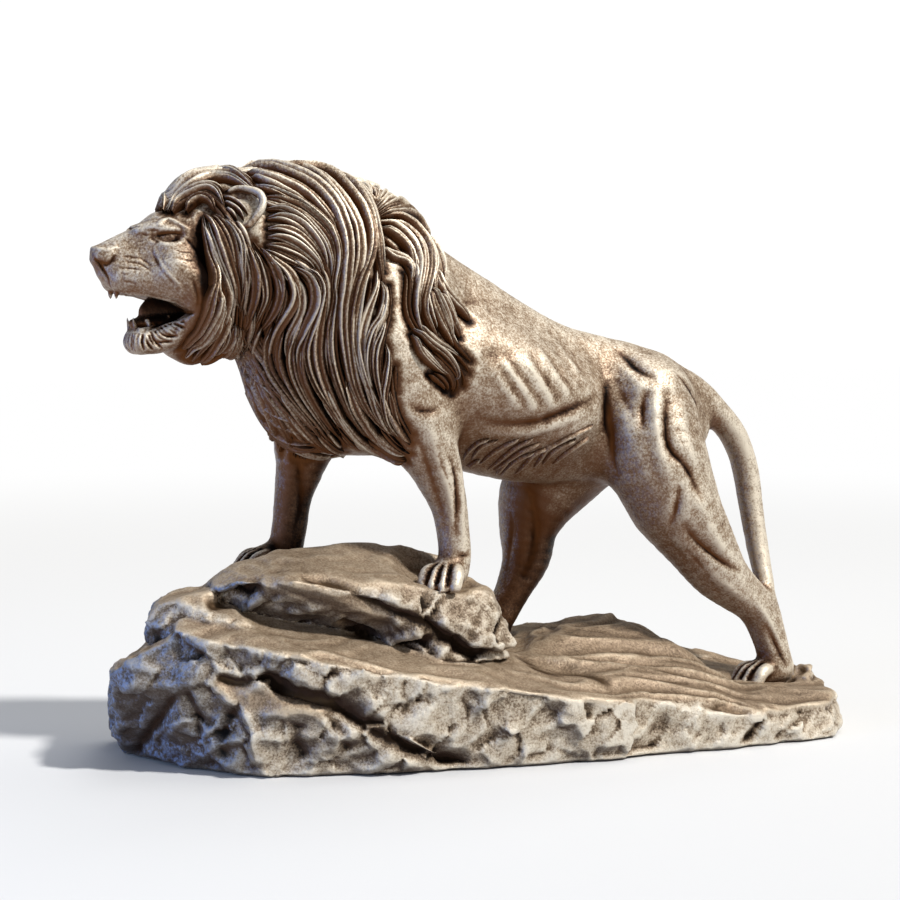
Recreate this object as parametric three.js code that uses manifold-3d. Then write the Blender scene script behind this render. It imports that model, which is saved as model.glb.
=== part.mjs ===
// A cast bronze lion standing on a rock with its mouth open.
// Millimetres. X runs from the head to the tail, Y from the lion's left to its right, Z up.
// The origin is the middle of the rock's flat underside. The lion looks along -X.

import * as THREE from "three";
import { ConvexGeometry } from "three/addons/geometries/ConvexGeometry.js";
import { edgeTable, triTable } from "three/addons/objects/MarchingCubes.js";
import { mergeVertices } from "three/addons/utils/BufferGeometryUtils.js";
import Module from "manifold-3d";

const wasm = await Module();
wasm.setup();

// Driving sizes
const LION_LENGTH = 444; // from the nose to the back of the rearmost heel
const BASE_LENGTH = 460;
const BASE_WIDTH = 190;
const HIND_GROUND = 23; // height of the rock under the rearmost paw
const SEAT_CLEARANCE = 0.3; // between the rock and the paws that stand on it
const SEAT_MARGIN = 4; // room round each paw in its hollow of the rock
const CASTING_DEPTH = 6; // how far the rock's blocks run below the plane where they are cut flat

// The figure's own tables are in units of its length: one unit is 1 mm on a lion 444 mm long.
const TABLE_LENGTH = 444;
const unit = LION_LENGTH / TABLE_LENGTH;
const TABLE_HIND_SOLE = 23;
const lift = HIND_GROUND - TABLE_HIND_SOLE * unit;

// The rock's tables are in units of its length and width, and its heights follow the lion's stance.
const TABLE_BASE_LENGTH = 460;
const TABLE_BASE_WIDTH = 190;
const TABLE_FRONT_SOLE = 98;
const frontGround = lift + TABLE_FRONT_SOLE * unit;

// Body, neck and upper limbs, melted into one another.
// Each path point is x, y, z and radius. flat is the width over the height of its section.
// A pair is repeated on the other side, and blend is the width of the fillet where it joins.
const TRUNK = [
  { name: "torso", blend: 0, flat: 0.62, path: [[-70, 0, 240, 54], [-35, 0, 234, 57], [0, 0, 219, 54],
    [35, 0, 206, 49], [70, 0, 199, 43.5], [105, 0, 197, 39], [132, 0, 194, 34]] },
  { name: "neck", blend: 20, flat: 0.72, path: [[-150, 0, 298, 40], [-120, 0, 291, 56],
    [-88, 0, 270, 63], [-80, 0, 242, 60]] },
  { name: "chest", blend: 16, flat: 0.8, path: [[-112, 0, 262, 25], [-98, 0, 234, 27], [-96, 0, 214, 26]] },
  { name: "back", blend: 12, flat: 0.9, path: [[-36, 0, 285, 14], [-8, 0, 270, 13], [20, 0, 255, 12],
    [55, 0, 239, 11.5], [95, 0, 231, 11], [125, 0, 220, 12]] },
  { name: "rib cage", blend: 14, flat: 0.7, pair: true, path: [[-20, 26, 228, 30], [15, 26, 214, 31],
    [45, 24, 204, 26]] },
  { name: "left thigh", blend: 12, flat: 0.8, path: [[112, -18, 203, 30], [113, -24, 175, 33],
    [122, -27, 150, 28]] },
  { name: "right thigh", blend: 12, flat: 0.8, path: [[104, 18, 200, 30], [84, 24, 174, 31],
    [76, 27, 162, 27]] },
  { name: "withers tuft", blend: 6, flat: 1.1, path: [[-96, 0, 315, 22], [-68, 0, 313, 19],
    [-46, 0, 309, 13]] },
  { name: "left shoulder", blend: 14, flat: 0.8, path: [[-52, -24, 262, 24], [-66, -30, 228, 28],
    [-52, -32, 194, 20]] },
  { name: "right shoulder", blend: 14, flat: 0.8, path: [[-70, 24, 250, 24], [-88, 30, 218, 24],
    [-96, 31, 192, 20]] },
];

// The head, and the open mouth cut from it
const HEAD = [
  { name: "throat", blend: 0, flat: 1, path: [[-146, 0, 270, 26], [-164, 0, 254, 17], [-178, 0, 244, 11]] },
  { name: "skull", blend: 12, flat: 0.95, path: [[-150, 0, 296, 28], [-168, 0, 298, 27],
    [-188, 0, 299, 21]] },
  { name: "forelock", blend: 5, flat: 1.3, path: [[-183, 0, 319, 6], [-175, 0, 328, 10.5],
    [-158, 0, 325, 16], [-140, 0, 322, 22]] },
  { name: "muzzle", blend: 8, flat: 1, path: [[-196, 0, 292, 17], [-212, 0, 287, 14], [-222, 0, 286, 11]] },
  { name: "bridge", blend: 5, flat: 1.1, path: [[-192, 0, 304, 10], [-212, 0, 299, 8],
    [-230, 0, 293, 6.5]] },
  { name: "lip pad", blend: 5, flat: 1, pair: true, path: [[-219, 7, 280, 9], [-207, 11, 279, 10.5],
    [-196, 15, 277, 10]] },
  { name: "cheek", blend: 8, flat: 1, pair: true, path: [[-190, 17, 284, 13], [-178, 20, 272, 14],
    [-182, 17, 262, 10]] },
  { name: "jaw", blend: 5, flat: 1, pair: true, path: [[-176, 14, 258, 11], [-196, 9, 247, 8],
    [-208, 5, 245, 8]] },
  { name: "brow", blend: 4, flat: 1, pair: true, path: [[-209, 7, 308, 4.5], [-199, 12, 311, 4.5],
    [-185, 19, 305, 3.5]] },
  { name: "beard", blend: 5, flat: 1.2, path: [[-186, 0, 243, 8], [-175, 0, 242, 10.5],
    [-164, 0, 247, 12]] },
];
// The gap between the jaws in side view, x and z, cut through from cheek to cheek
const MOUTH = [[-242, 271], [-214, 271], [-191, 266], [-183, 261], [-200, 254], [-217, 253], [-242, 249]];
const MOUTH_WIDTH = 60;

// Lower limbs and tail, each a round tapering sweep
const LIMBS = [
  { name: "left shin", sides: 8, path: [[118, -25, 164, 27], [126, -28, 142, 27], [142, -30, 118, 22.5],
    [157, -30, 98, 18], [172, -30, 84, 13.5], [184, -30, 73, 11.5], [193, -30, 56, 10.5],
    [200, -30, 36, 10.5], [200, -30, 22, 9]] },
  { name: "left heel cord", sides: 6, path: [[168, -30, 96, 8], [182, -30, 84, 7.5], [193, -30, 74, 6],
    [199, -30, 54, 5.5], [205, -30, 36, 4.5]] },
  { name: "right shin", sides: 8, path: [[80, 25, 174, 28], [63, 28, 152, 27], [54, 30, 128, 19.5],
    [52, 30, 106, 15.5], [42, 30, 85, 11.5], [32, 30, 68, 10.5], [26, 30, 52, 10]] },
  { name: "left forearm", sides: 8, path: [[-50, -32, 196, 18], [-40, -32, 172, 15.5], [-31, -31, 150, 11.5],
    [-27, -30, 132, 10.2], [-25, -30, 116, 10.5], [-27, -30, 100, 11]] },
  { name: "right forearm", sides: 8, path: [[-95, 31, 196, 17], [-99, 31, 172, 15.5], [-104, 31, 152, 12],
    [-107, 30, 133, 11], [-110, 30, 118, 11], [-112, 30, 106, 11]] },
  { name: "tail", sides: 8, path: [[128, 0, 216, 13], [155, 0, 209, 10.5], [171, -1, 197, 9.5],
    [185, -2, 181, 9], [193, -3, 160, 8.6], [195, -8, 132, 8], [196, -16, 104, 7], [196, -24, 84, 6],
    [197, -28, 68, 5], [201, -30, 46, 4.6], [206, -30, 30, 4]] },
];

// Smaller forms of the head. Those off the middle are repeated on the other side.
const EAR = [[-166, -25, 312, 5], [-160, -31, 322, 7], [-152, -34, 325, 6], [-147, -33, 318, 4]];
const UPPER_FANG = [[-221, 7, 277, 2.6], [-222, 7, 270, 1.7], [-221, 7, 264, 0.5]];
const LOWER_FANG = [[-211, 6, 246, 2.4], [-213, 6, 252, 1.6], [-214, 6, 257, 0.5]];
const TONGUE = [[-184, 0, 256, 6], [-198, 0, 254, 5], [-209, 0, 253, 3]];
const NOSE = [[-226, -7, 292, 3], [-231, -4, 292, 4.4], [-231, 4, 292, 4.4], [-226, 7, 292, 3]];

// Where each paw stands: the middle of its pad and the height of its sole
const PAWS = [
  { name: "left front", x: -35, y: -31, sole: 98 },
  { name: "right front", x: -120, y: 31, sole: 104 },
  { name: "left hind", x: 191, y: -31, sole: 23 },
  { name: "right hind", x: 20, y: 31, sole: 50 },
];
const PAW_LENGTH = 42;
const PAW_WIDTH = 27;
const TOE_RADIUS = 5;
const TOES = 4;
const SOLE_CUT = 30; // how deep the cut is that makes a sole flat

// Guide lines of the mane on the lion's left, from root to tip. The locks lie between neighbours.
const NECK_GUIDES = [
  [[-154, -31, 297], [-147, -32, 282], [-146, -31, 268], [-150, -27, 258], [-155, -20, 249]],
  [[-147, -33, 299], [-133, -37, 289], [-125, -38, 272], [-129, -31, 248], [-131, -27, 230]],
  [[-144, -33, 309], [-119, -39, 297], [-112, -41, 278], [-118, -36, 238], [-112, -33, 206]],
  [[-140, -28, 322], [-113, -37, 306], [-108, -41, 280], [-110, -41, 244], [-97, -33, 197]],
  [[-143, -17, 335], [-108, -30, 320], [-96, -41, 294], [-102, -43, 256], [-84, -38, 196]],
  [[-132, -7, 343], [-94, -22, 329], [-86, -40, 296], [-96, -44, 256], [-76, -39, 193]],
  [[-110, -3, 345], [-77, -20, 324], [-78, -42, 286], [-90, -47, 243], [-66, -43, 188]],
];
const SHOULDER_GUIDES = [
  [[-78, -20, 322], [-62, -34, 300], [-59, -45, 272], [-52, -49, 251], [-36, -47, 236]],
  [[-74, -12, 327], [-48, -24, 304], [-45, -42, 276], [-38, -46, 248], [-32, -46, 224]],
];
const WITHERS_GUIDES = [
  [[-84, -8, 333], [-72, -6, 336], [-62, -4, 336], [-52, -2, 330]],
  [[-80, -16, 326], [-62, -16, 322], [-44, -14, 313], [-33, -12, 303]],
];
const CHEEK_GUIDES = [
  [[-181, -16, 316], [-172, -28, 300], [-169, -28, 283], [-171, -24, 262], [-174, -15, 243]],
  [[-168, -24, 310], [-161, -31, 292], [-158, -29, 272], [-159, -22, 256], [-162, -14, 244]],
];
const CHEST_GUIDES = [
  [[-150, -14, 246], [-140, -16, 226], [-128, -20, 208], [-112, -24, 195], [-94, -24, 185]],
];
const FORELOCK_GUIDES = [
  [[-194, -4, 316], [-186, -4, 328], [-174, -4, 338], [-158, -4, 344], [-138, -4, 345]],
  [[-192, -12, 314], [-182, -12, 326], [-168, -12, 335], [-154, -12, 337], [-138, -12, 340]],
];

// Distance fields

// Points of a smooth curve through the path, with the radius carried along
function smoothPath(path, steps) {
  const last = path.length - 1;
  const beyond = (a, b) => a.map((value, i) => 2 * value - b[i]);
  const points = [beyond(path[0], path[1]), ...path, beyond(path[last], path[last - 1])];
  const curve = [];
  for (let i = 1; i <= last; i += 1) {
    const [a, b, c, d] = points.slice(i - 1, i + 3);
    for (let s = 0; s < steps; s += 1) {
      const t = s / steps;
      curve.push(a.map((p, k) => 0.5 * (2 * b[k] + (c[k] - p) * t
        + (2 * p - 5 * b[k] + 4 * c[k] - d[k]) * t * t
        + (3 * b[k] - p - 3 * c[k] + d[k]) * t * t * t)));
    }
  }
  curve.push(path[last]);
  return curve;
}

// Distance from a point to a chain of tapering round lengths, squeezed in y by flat
function chainDistance(x, y, z, curve, flat) {
  let nearest = Infinity;
  for (let i = 1; i < curve.length; i += 1) {
    const a = curve[i - 1];
    const b = curve[i];
    const dx = b[0] - a[0];
    const dy = (b[1] - a[1]) / flat;
    const dz = b[2] - a[2];
    const px = x - a[0];
    const py = (y - a[1]) / flat;
    const pz = z - a[2];
    const along = (px * dx + py * dy + pz * dz) / (dx * dx + dy * dy + dz * dz);
    const t = Math.min(1, Math.max(0, along));
    const radius = a[3] + (b[3] - a[3]) * t;
    const distance = Math.hypot(px - dx * t, py - dy * t, pz - dz * t) - radius;
    nearest = Math.min(nearest, distance * Math.min(flat, 1));
  }
  return nearest;
}

// The lesser of two distances, with a fillet where they are nearly equal
function blended(a, b, width) {
  if (width === 0) {
    return Math.min(a, b);
  }
  const share = Math.min(1, Math.max(0, 0.5 + 0.5 * (a - b) / width));
  return a * (1 - share) + b * share - width * share * (1 - share);
}

const CURVE_STEPS = 4;

// One distance function for a list of forms
function fieldOf(forms) {
  const chains = forms.flatMap(({ blend, flat, pair, path }) => {
    const curve = smoothPath(path, CURVE_STEPS);
    const mirrored = curve.map(([x, y, z, radius]) => [x, -y, z, radius]);
    const sides = pair ? [curve, mirrored] : [curve];
    return sides.map((side) => ({ blend, flat, curve: side }));
  });
  return (x, y, z) => chains.reduce(
    (distance, chain) => blended(distance, chainDistance(x, y, z, chain.curve, chain.flat), chain.blend),
    1e3,
  );
}

const trunkField = fieldOf(TRUNK);
const headField = fieldOf(HEAD);

function slopeOf(field, [x, y, z]) {
  const reach = 0.5;
  const slope = new THREE.Vector3(
    field(x + reach, y, z) - field(x - reach, y, z),
    field(x, y + reach, z) - field(x, y - reach, z),
    field(x, y, z + reach) - field(x, y, z - reach),
  );
  return slope.divideScalar(2 * reach);
}

// The point on the surface nearest to a point, found by walking down the slope
function onSurface(field, point, walks) {
  const found = new THREE.Vector3(...point);
  for (let i = 0; i < walks; i += 1) {
    const place = found.toArray();
    const slope = slopeOf(field, place);
    found.addScaledVector(slope, -field(...place) / Math.max(slope.lengthSq(), 0.2));
  }
  return found;
}

// Solids

const CUBE_CORNERS = [[0, 0, 0], [1, 0, 0], [1, 1, 0], [0, 1, 0], [0, 0, 1], [1, 0, 1], [1, 1, 1], [0, 1, 1]];
const CUBE_EDGES = [[0, 1], [1, 2], [2, 3], [3, 0], [4, 5], [5, 6], [6, 7], [7, 4], [0, 4], [1, 5], [2, 6],
  [3, 7]];
const TABLE_ROW = 16;
const EDGE_MARGIN = 0.12;

// Triangles of the surface where a field is zero, one small cube at a time
function polygonized(field, low, high, step) {
  const counts = low.map((value, i) => Math.ceil((high[i] - value) / step) + 1);
  const index = (i, j, k) => (k * counts[1] + j) * counts[0] + i;
  const place = (i, j, k) => [low[0] + i * step, low[1] + j * step, low[2] + k * step];
  const values = new Float64Array(counts[0] * counts[1] * counts[2]);
  for (let k = 0; k < counts[2]; k += 1) {
    for (let j = 0; j < counts[1]; j += 1) {
      for (let i = 0; i < counts[0]; i += 1) {
        values[index(i, j, k)] = field(...place(i, j, k));
      }
    }
  }
  const points = [];
  const triangles = [];
  const known = new Map();
  const crossing = (a, b) => {
    const from = index(...a);
    const to = index(...b);
    const key = from < to ? `${from} ${to}` : `${to} ${from}`;
    if (!known.has(key)) {
      const share = values[from] / (values[from] - values[to]);
      const t = Math.min(1 - EDGE_MARGIN, Math.max(EDGE_MARGIN, share));
      const start = new THREE.Vector3(...place(...a));
      known.set(key, points.push(start.lerp(new THREE.Vector3(...place(...b)), t)) - 1);
    }
    return known.get(key);
  };
  for (let k = 0; k < counts[2] - 1; k += 1) {
    for (let j = 0; j < counts[1] - 1; j += 1) {
      for (let i = 0; i < counts[0] - 1; i += 1) {
        const corners = CUBE_CORNERS.map(([x, y, z]) => [i + x, j + y, k + z]);
        const state = corners.reduce(
          (bits, corner, n) => bits | (values[index(...corner)] < 0 ? 0 : 1 << n),
          0,
        );
        if (edgeTable[state] === 0) {
          continue;
        }
        for (let n = state * TABLE_ROW; triTable[n] !== -1; n += 3) {
          const corner = (m) => crossing(...CUBE_EDGES[triTable[n + m]].map((c) => corners[c]));
          triangles.push([corner(0), corner(1), corner(2)]);
        }
      }
    }
  }
  return { points, triangles };
}

// Evens out the triangles: each point moves to the middle of its neighbours and back to the surface
function relaxed({ points, triangles }, field, rounds) {
  let current = points;
  for (let round = 0; round < rounds; round += 1) {
    const sums = current.map(() => ({ sum: new THREE.Vector3(), count: 0 }));
    for (const triangle of triangles) {
      triangle.forEach((corner, i) => {
        sums[corner].sum.add(current[triangle[(i + 1) % 3]]);
        sums[corner].count += 1;
      });
    }
    current = sums.map(({ sum, count }) => onSurface(field, sum.divideScalar(count).toArray(), 2));
  }
  return { points: current, triangles };
}

function solidOf({ points, triangles }) {
  const vertProperties = new Float32Array(points.flatMap((point) => point.toArray()));
  const triVerts = new Uint32Array(triangles.flat());
  return new wasm.Manifold(new wasm.Mesh({ numProp: 3, vertProperties, triVerts }));
}

function solidOfGeometry(geometry) {
  geometry.deleteAttribute("normal");
  geometry.deleteAttribute("uv");
  const merged = mergeVertices(geometry, 1e-3);
  const vertProperties = new Float32Array(merged.attributes.position.array);
  const triVerts = new Uint32Array(merged.index.array);
  return new wasm.Manifold(new wasm.Mesh({ numProp: 3, vertProperties, triVerts }));
}

const hull = (points) => solidOfGeometry(
  new ConvexGeometry(points.map(([x, y, z]) => new THREE.Vector3(x, y, z))),
);

const joined = (solids) => solids.reduce((whole, solid) => whole.add(solid));

// A closed skin over rings of equal length, flat at both ends
function skinned(rings) {
  const sides = rings[0].length;
  const points = rings.flat();
  const triangles = [];
  for (let r = 0; r < rings.length - 1; r += 1) {
    for (let s = 0; s < sides; s += 1) {
      const a = r * sides + s;
      const b = r * sides + ((s + 1) % sides);
      triangles.push([a, b, b + sides], [a, b + sides, a + sides]);
    }
  }
  const end = (rings.length - 1) * sides;
  for (let s = 1; s < sides - 1; s += 1) {
    triangles.push([0, s + 1, s], [end, end + s, end + s + 1]);
  }
  return solidOf({ points, triangles });
}

const tangentAt = (points, i) => {
  const before = points[Math.max(i - 1, 0)];
  const after = points[Math.min(i + 1, points.length - 1)];
  return new THREE.Vector3().subVectors(after, before).normalize();
};

// A round tapering sweep through the path
function limb({ path, sides }, steps = 1) {
  const curve = smoothPath(path, steps);
  const centres = curve.map(([x, y, z]) => new THREE.Vector3(x, y, z));
  const rings = centres.map((centre, i) => {
    const along = tangentAt(centres, i);
    const across = new THREE.Vector3(0, 1, 0).addScaledVector(along, -along.y).normalize();
    const third = new THREE.Vector3().crossVectors(along, across);
    return Array.from({ length: sides }, (_, s) => {
      const angle = 2 * Math.PI * s / sides;
      const radius = curve[i][3];
      return centre.clone()
        .addScaledVector(across, radius * Math.cos(angle))
        .addScaledVector(third, radius * Math.sin(angle));
    });
  });
  return skinned(rings);
}

const RIDGE_SINK = 3.5; // how far the edges of a ridge run below the surface
const RIDGE_ENDS = 0.06; // share of the taper left off at each end, so that no end is a point
const RIDGE_FULLNESS = 0.6; // the lower, the longer a ridge keeps its full width

// A ridge that lies on a surface along a line and tapers to both ends
function ridge(field, line, { width, height, rings }) {
  const curve = smoothPath(line, 3).map(([x, y, z]) => new THREE.Vector3(x, y, z));
  const spaced = new THREE.CatmullRomCurve3(curve).getSpacedPoints(rings);
  const centres = spaced.map((point) => onSurface(field, point.toArray(), 4));
  const sections = centres.map((centre, i) => {
    const share = RIDGE_ENDS + (1 - 2 * RIDGE_ENDS) * i / rings;
    const fullness = Math.pow(Math.sin(Math.PI * share), RIDGE_FULLNESS);
    const outward = slopeOf(field, centre.toArray()).normalize();
    const across = new THREE.Vector3().crossVectors(outward, tangentAt(centres, i)).normalize();
    const spot = (side, up) => centre.clone()
      .addScaledVector(across, side * width / 2 * fullness)
      .addScaledVector(outward, up);
    return [spot(-1, -RIDGE_SINK), spot(1, -RIDGE_SINK), spot(0, height * fullness)];
  });
  return skinned(sections);
}

const mirroredLine = (line) => line.map(([x, y, z]) => [x, -y, z]);
const between = (a, b, share) => a.map(
  (point, i) => point.map((value, k) => value + (b[i][k] - value) * share),
);

// Locks spread over the surface between each guide line and the next, on both sides
function locks(field, guides, perGap, size) {
  const lines = [];
  for (let g = 0; g < guides.length - 1; g += 1) {
    for (let n = 0; n < perGap; n += 1) {
      lines.push(between(guides[g], guides[g + 1], n / perGap));
    }
  }
  lines.push(guides[guides.length - 1]);
  return lines.flatMap((line) => [line, mirroredLine(line)]).map((line) => ridge(field, line, size));
}

const TRUNK_STEP = 18;
const HEAD_STEP = 9.3;

// A solid of forms melted together, with its surface sampled at a step
function melted(forms, field, step, rounds) {
  const room = 2 * step;
  const extent = (axis, side) => forms.flatMap(({ path }) => path)
    .map((point) => point[axis] + side * point[3]);
  const low = [0, 1, 2].map((axis) => Math.min(...extent(axis, -1)) - room);
  const high = [0, 1, 2].map((axis) => Math.max(...extent(axis, 1)) + room);
  const halfWidth = Math.max(-low[1], high[1]);
  low[1] = -halfWidth;
  high[1] = halfWidth;
  return solidOf(relaxed(polygonized(field, low, high, step), field, rounds));
}

const trunk = () => melted(TRUNK, trunkField, TRUNK_STEP, 3);
const mouth = () => hull(MOUTH.flatMap(([x, z]) => [-1, 1].map((side) => [x, side * MOUTH_WIDTH / 2, z])));
const head = () => melted(HEAD, headField, HEAD_STEP, 2).subtract(mouth());

const otherSide = (path) => path.map(([x, y, z, radius]) => [x, -y, z, radius]);
const pairOf = (path, sides) => [path, otherSide(path)].map((form) => limb({ path: form, sides }));

// Ears, fangs, tongue and nose
const headDetails = () => [
  ...pairOf(EAR, 6),
  ...pairOf(UPPER_FANG, 5),
  ...pairOf(LOWER_FANG, 5),
  limb({ path: TONGUE, sides: 6 }),
  limb({ path: NOSE, sides: 6 }),
];

// A paw: a low heel with toes fanned in front, its sizes shares of its own length and width
function paw({ x, y, sole }) {
  const halfLength = PAW_LENGTH / 2;
  const halfWidth = PAW_WIDTH / 2;
  const heelHeight = 0.75 * halfWidth;
  const heel = limb({
    path: [
      [x + 0.65 * halfLength, y, sole + heelHeight, 0.67 * halfWidth],
      [x + 0.2 * halfLength, y, sole + heelHeight, 0.8 * halfWidth],
      [x - 0.3 * halfLength, y, sole + 0.8 * heelHeight, 0.77 * halfWidth],
      [x - 0.55 * halfLength, y, sole + 0.6 * heelHeight, 0.5 * halfWidth],
    ],
    sides: 6,
  });
  const toes = Array.from({ length: TOES }, (_, n) => {
    const side = TOES > 1 ? 2 * n / (TOES - 1) - 1 : 0;
    const reach = (0.85 - 0.14 * side * side) * halfLength;
    const spread = side * (halfWidth - TOE_RADIUS);
    return limb({
      path: [
        [x, y + spread * 0.6, sole + 2.4 * TOE_RADIUS, TOE_RADIUS * 0.9],
        [x - reach * 0.6, y + spread * 0.9, sole + 2 * TOE_RADIUS, TOE_RADIUS * 1.05],
        [x - reach, y + spread, sole + 0.8 * TOE_RADIUS, TOE_RADIUS * 0.85],
      ],
      sides: 4,
    });
  });
  return [heel, ...toes];
}

function sizedBox([lowX, lowY, lowZ], [highX, highY, highZ]) {
  const box = new THREE.BoxGeometry(highX - lowX, highY - lowY, highZ - lowZ);
  box.translate((lowX + highX) / 2, (lowY + highY) / 2, (lowZ + highZ) / 2);
  return solidOfGeometry(box);
}

// What is cut from under a paw, in the figure's own units
const pawCut = ({ x, y, sole }) => sizedBox(
  [x - PAW_LENGTH, y - PAW_WIDTH, sole - SOLE_CUT],
  [x + PAW_LENGTH, y + PAW_WIDTH, sole],
);

// Ribs, each a little lower than the one before it
const RIBS = 4;
const RIB_SPACING = 20;
const RIB_LINES = Array.from({ length: RIBS }, (_, n) => {
  const x = -14 + RIB_SPACING * n;
  return [[x, -44, 232 - 3 * n], [x + 9, -45, 221 - 2 * n], [x + 18, -43, 208 - n]];
});
// Muscles of the left haunch
const HAUNCH_LINES = [
  [[86, -20, 236], [97, -32, 224], [108, -38, 214]],
  [[104, -38, 216], [98, -44, 195], [104, -50, 170], [108, -48, 148]],
  [[118, -36, 216], [115, -46, 196], [122, -50, 172], [136, -50, 150]],
  [[118, -50, 134], [134, -48, 118], [150, -47, 106], [164, -44, 96]],
];

function lionSolid() {
  const limbs = LIMBS.map((form) => limb(form));
  const body = joined([trunk(), head(), ...limbs, ...headDetails(), ...PAWS.flatMap(paw)]);
  const maneField = (x, y, z) => Math.min(trunkField(x, y, z), headField(x, y, z));
  const hair = [
    ...locks(maneField, NECK_GUIDES, 1, { width: 17, height: 7, rings: 5 }),
    ...locks(maneField, SHOULDER_GUIDES, 1, { width: 13, height: 5.5, rings: 4 }),
    ...locks(maneField, WITHERS_GUIDES, 1, { width: 14, height: 6, rings: 4 }),
    ...locks(maneField, CHEEK_GUIDES, 1, { width: 13, height: 5.5, rings: 4 }),
    ...locks(maneField, CHEST_GUIDES, 1, { width: 15, height: 4.5, rings: 4 }),
    ...locks(maneField, FORELOCK_GUIDES, 1, { width: 13, height: 5, rings: 4 }),
  ];
  const ribs = RIB_LINES.flatMap((line) => [line, mirroredLine(line)])
    .map((line) => ridge(trunkField, line, { width: 10, height: 2, rings: 3 }));
  const muscles = HAUNCH_LINES.map((line) => ridge(trunkField, line, { width: 10, height: 2.4, rings: 4 }));
  let figure = joined([body, ...hair, ...ribs, ...muscles]);
  for (const foot of PAWS) {
    figure = figure.subtract(pawCut(foot));
  }
  return figure;
}

// The rock

const alongBase = (x) => x * BASE_LENGTH / TABLE_BASE_LENGTH;
const acrossBase = (y) => y * BASE_WIDTH / TABLE_BASE_WIDTH;
const frontRise = (z) => z * frontGround / TABLE_FRONT_SOLE;
const rearRise = (z) => z * HIND_GROUND / TABLE_HIND_SOLE;

// One block of rock from its corners. Corners at height 0 run below the plane of the underside.
function block(corners, rise) {
  return hull(corners.map(([x, y, z]) => [
    alongBase(x),
    acrossBase(y),
    z === 0 ? -CASTING_DEPTH : rise(z),
  ]));
}

const FRONT_BLOCKS = [
  // The rough end below the lion's head
  [[-203, 60, 0], [-197, 92, 0], [-176, -5, 0], [-151, -42, 0], [-120, -52, 0], [-100, 92, 0],
    [-225, 0, 60], [-211, 60, 50], [-198, 90, 48], [-194, -20, 80], [-170, -42, 62], [-130, -50, 50],
    [-120, 80, 75]],
  // The upper block at that end
  [[-203, -4, 72], [-206, -4, 86], [-197, -4, 99], [-168, -8, 103], [-160, 70, 95], [-170, 76, 88],
    [-180, 78, 64], [-150, -34, 84], [-110, 88, 60], [-182, -20, 76]],
  // The long middle ledge
  [[-197, -22, 83], [-168, 6, 98], [-171, -42, 66], [-146, -60, 71], [-104, -74, 63], [-30, -86, 48],
    [14, -92, 40], [60, -92, 33], [-100, 50, 92], [0, 60, 66], [60, 0, 52], [-140, -45, 42],
    [-97, -72, 26], [-42, -72, 0], [60, -88, 0], [60, 60, 0], [-150, 60, 0]],
  // The lower ledge at the front left
  [[-151, -42, 0], [-103, -56, 0], [-42, -68, 0], [-60, 20, 0], [-168, -42, 60], [-150, -54, 52],
    [-121, -66, 42], [-97, -73, 30], [-60, -80, 14], [-100, 20, 50]],
  // The top slab that the front paws stand on
  [[-168, -12, 104], [-166, 0, 107], [-149, 0, 117], [-125, 0, 124], [-80, 0, 126], [-48, -4, 122.5],
    [-26, -10, 116], [-157, -30, 108], [-135, -45, 111], [-113, -50, 107], [-85, -55, 97], [-51, -60, 84],
    [-16, -48, 103], [-4, -42, 96], [3, -46, 80], [4, -58, 66], [-18, -62, 66], [-160, 45, 94],
    [-120, 55, 103], [-60, 55, 103], [-8, 36, 92], [-150, -24, 96], [-100, -38, 84], [-50, -45, 68],
    [-8, -44, 60], [-6, 36, 56], [-150, 45, 70]],
  // The far side under the slab
  [[-186, 86, 56], [-150, 80, 82], [-60, 78, 86], [0, 74, 62], [-192, 90, 0], [20, 95, 0], [-190, 0, 0],
    [20, 0, 0], [-140, 40, 96], [-20, 40, 84], [34, 70, 48]],
];

const REAR_BLOCKS = [
  // The low hill behind the right hind paw
  [[-20, -60, 52], [24, -50, 52], [50, 20, 57], [80, 14, 65], [104, 10, 69], [120, 12, 62], [146, 14, 45],
    [60, -86, 34], [120, -84, 29], [160, -60, 26], [40, 86, 48], [80, 60, 56], [120, 86, 40], [-20, 92, 0],
    [170, 93, 0], [-20, -72, 0], [170, -92, 0], [160, 80, 30], [-20, 84, 46]],
  // The second, lower hill
  [[120, 30, 48], [150, 26, 46], [167, 22, 41], [190, 20, 33], [222, 20, 25], [100, 86, 40], [186, 82, 28],
    [212, 58, 22], [100, 0, 30], [120, 95, 0], [205, 92, 0], [228, 40, 0], [100, 0, 0], [228, 0, 0]],
  // The tail end
  [[100, -86, 26], [140, -90, 22], [206, -82, 19], [222, -62, 23], [230, -40, 25], [230, 20, 22],
    [160, 30, 34], [100, 30, 40], [170, -30, 25], [100, -93, 0], [206, -90, 0], [224, -66, 0],
    [230, -30, 0], [230, 50, 0], [205, 90, 0], [100, 60, 0]],
  // The stone behind the heel
  [[212, -52, 24], [209, -40, 36], [212, -24, 42], [219, -22, 41], [225, -34, 34], [229, -30, 26],
    [228, -10, 24], [210, 4, 26], [206, -30, 0], [228, -36, 0], [228, 6, 0], [206, 6, 0]],
];

// A paw's place in the world, from the figure's table
const pawPlace = ({ x, y, sole }) => [x * unit, y * unit, sole * unit + lift];

const RING_CORNERS = 8;

// A level ring round a paw's place, with room round the paw and then widened by a share
function ringRound(foot, widened, z) {
  const [x, y] = pawPlace(foot);
  const halfLength = (PAW_LENGTH * unit / 2 + SEAT_MARGIN) * widened;
  const halfWidth = (PAW_WIDTH * unit / 2 + SEAT_MARGIN) * widened;
  return Array.from({ length: RING_CORNERS }, (_, n) => {
    const angle = 2 * Math.PI * (n + 0.5) / RING_CORNERS;
    return [x + halfLength * Math.cos(angle), y + halfWidth * Math.sin(angle), z];
  });
}

const MOUND_SPREAD = 1.5; // how much wider a mound is at its foot than on top
const MOUND_FOOT = 0.6; // height of its foot as a share of the height of its top

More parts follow.
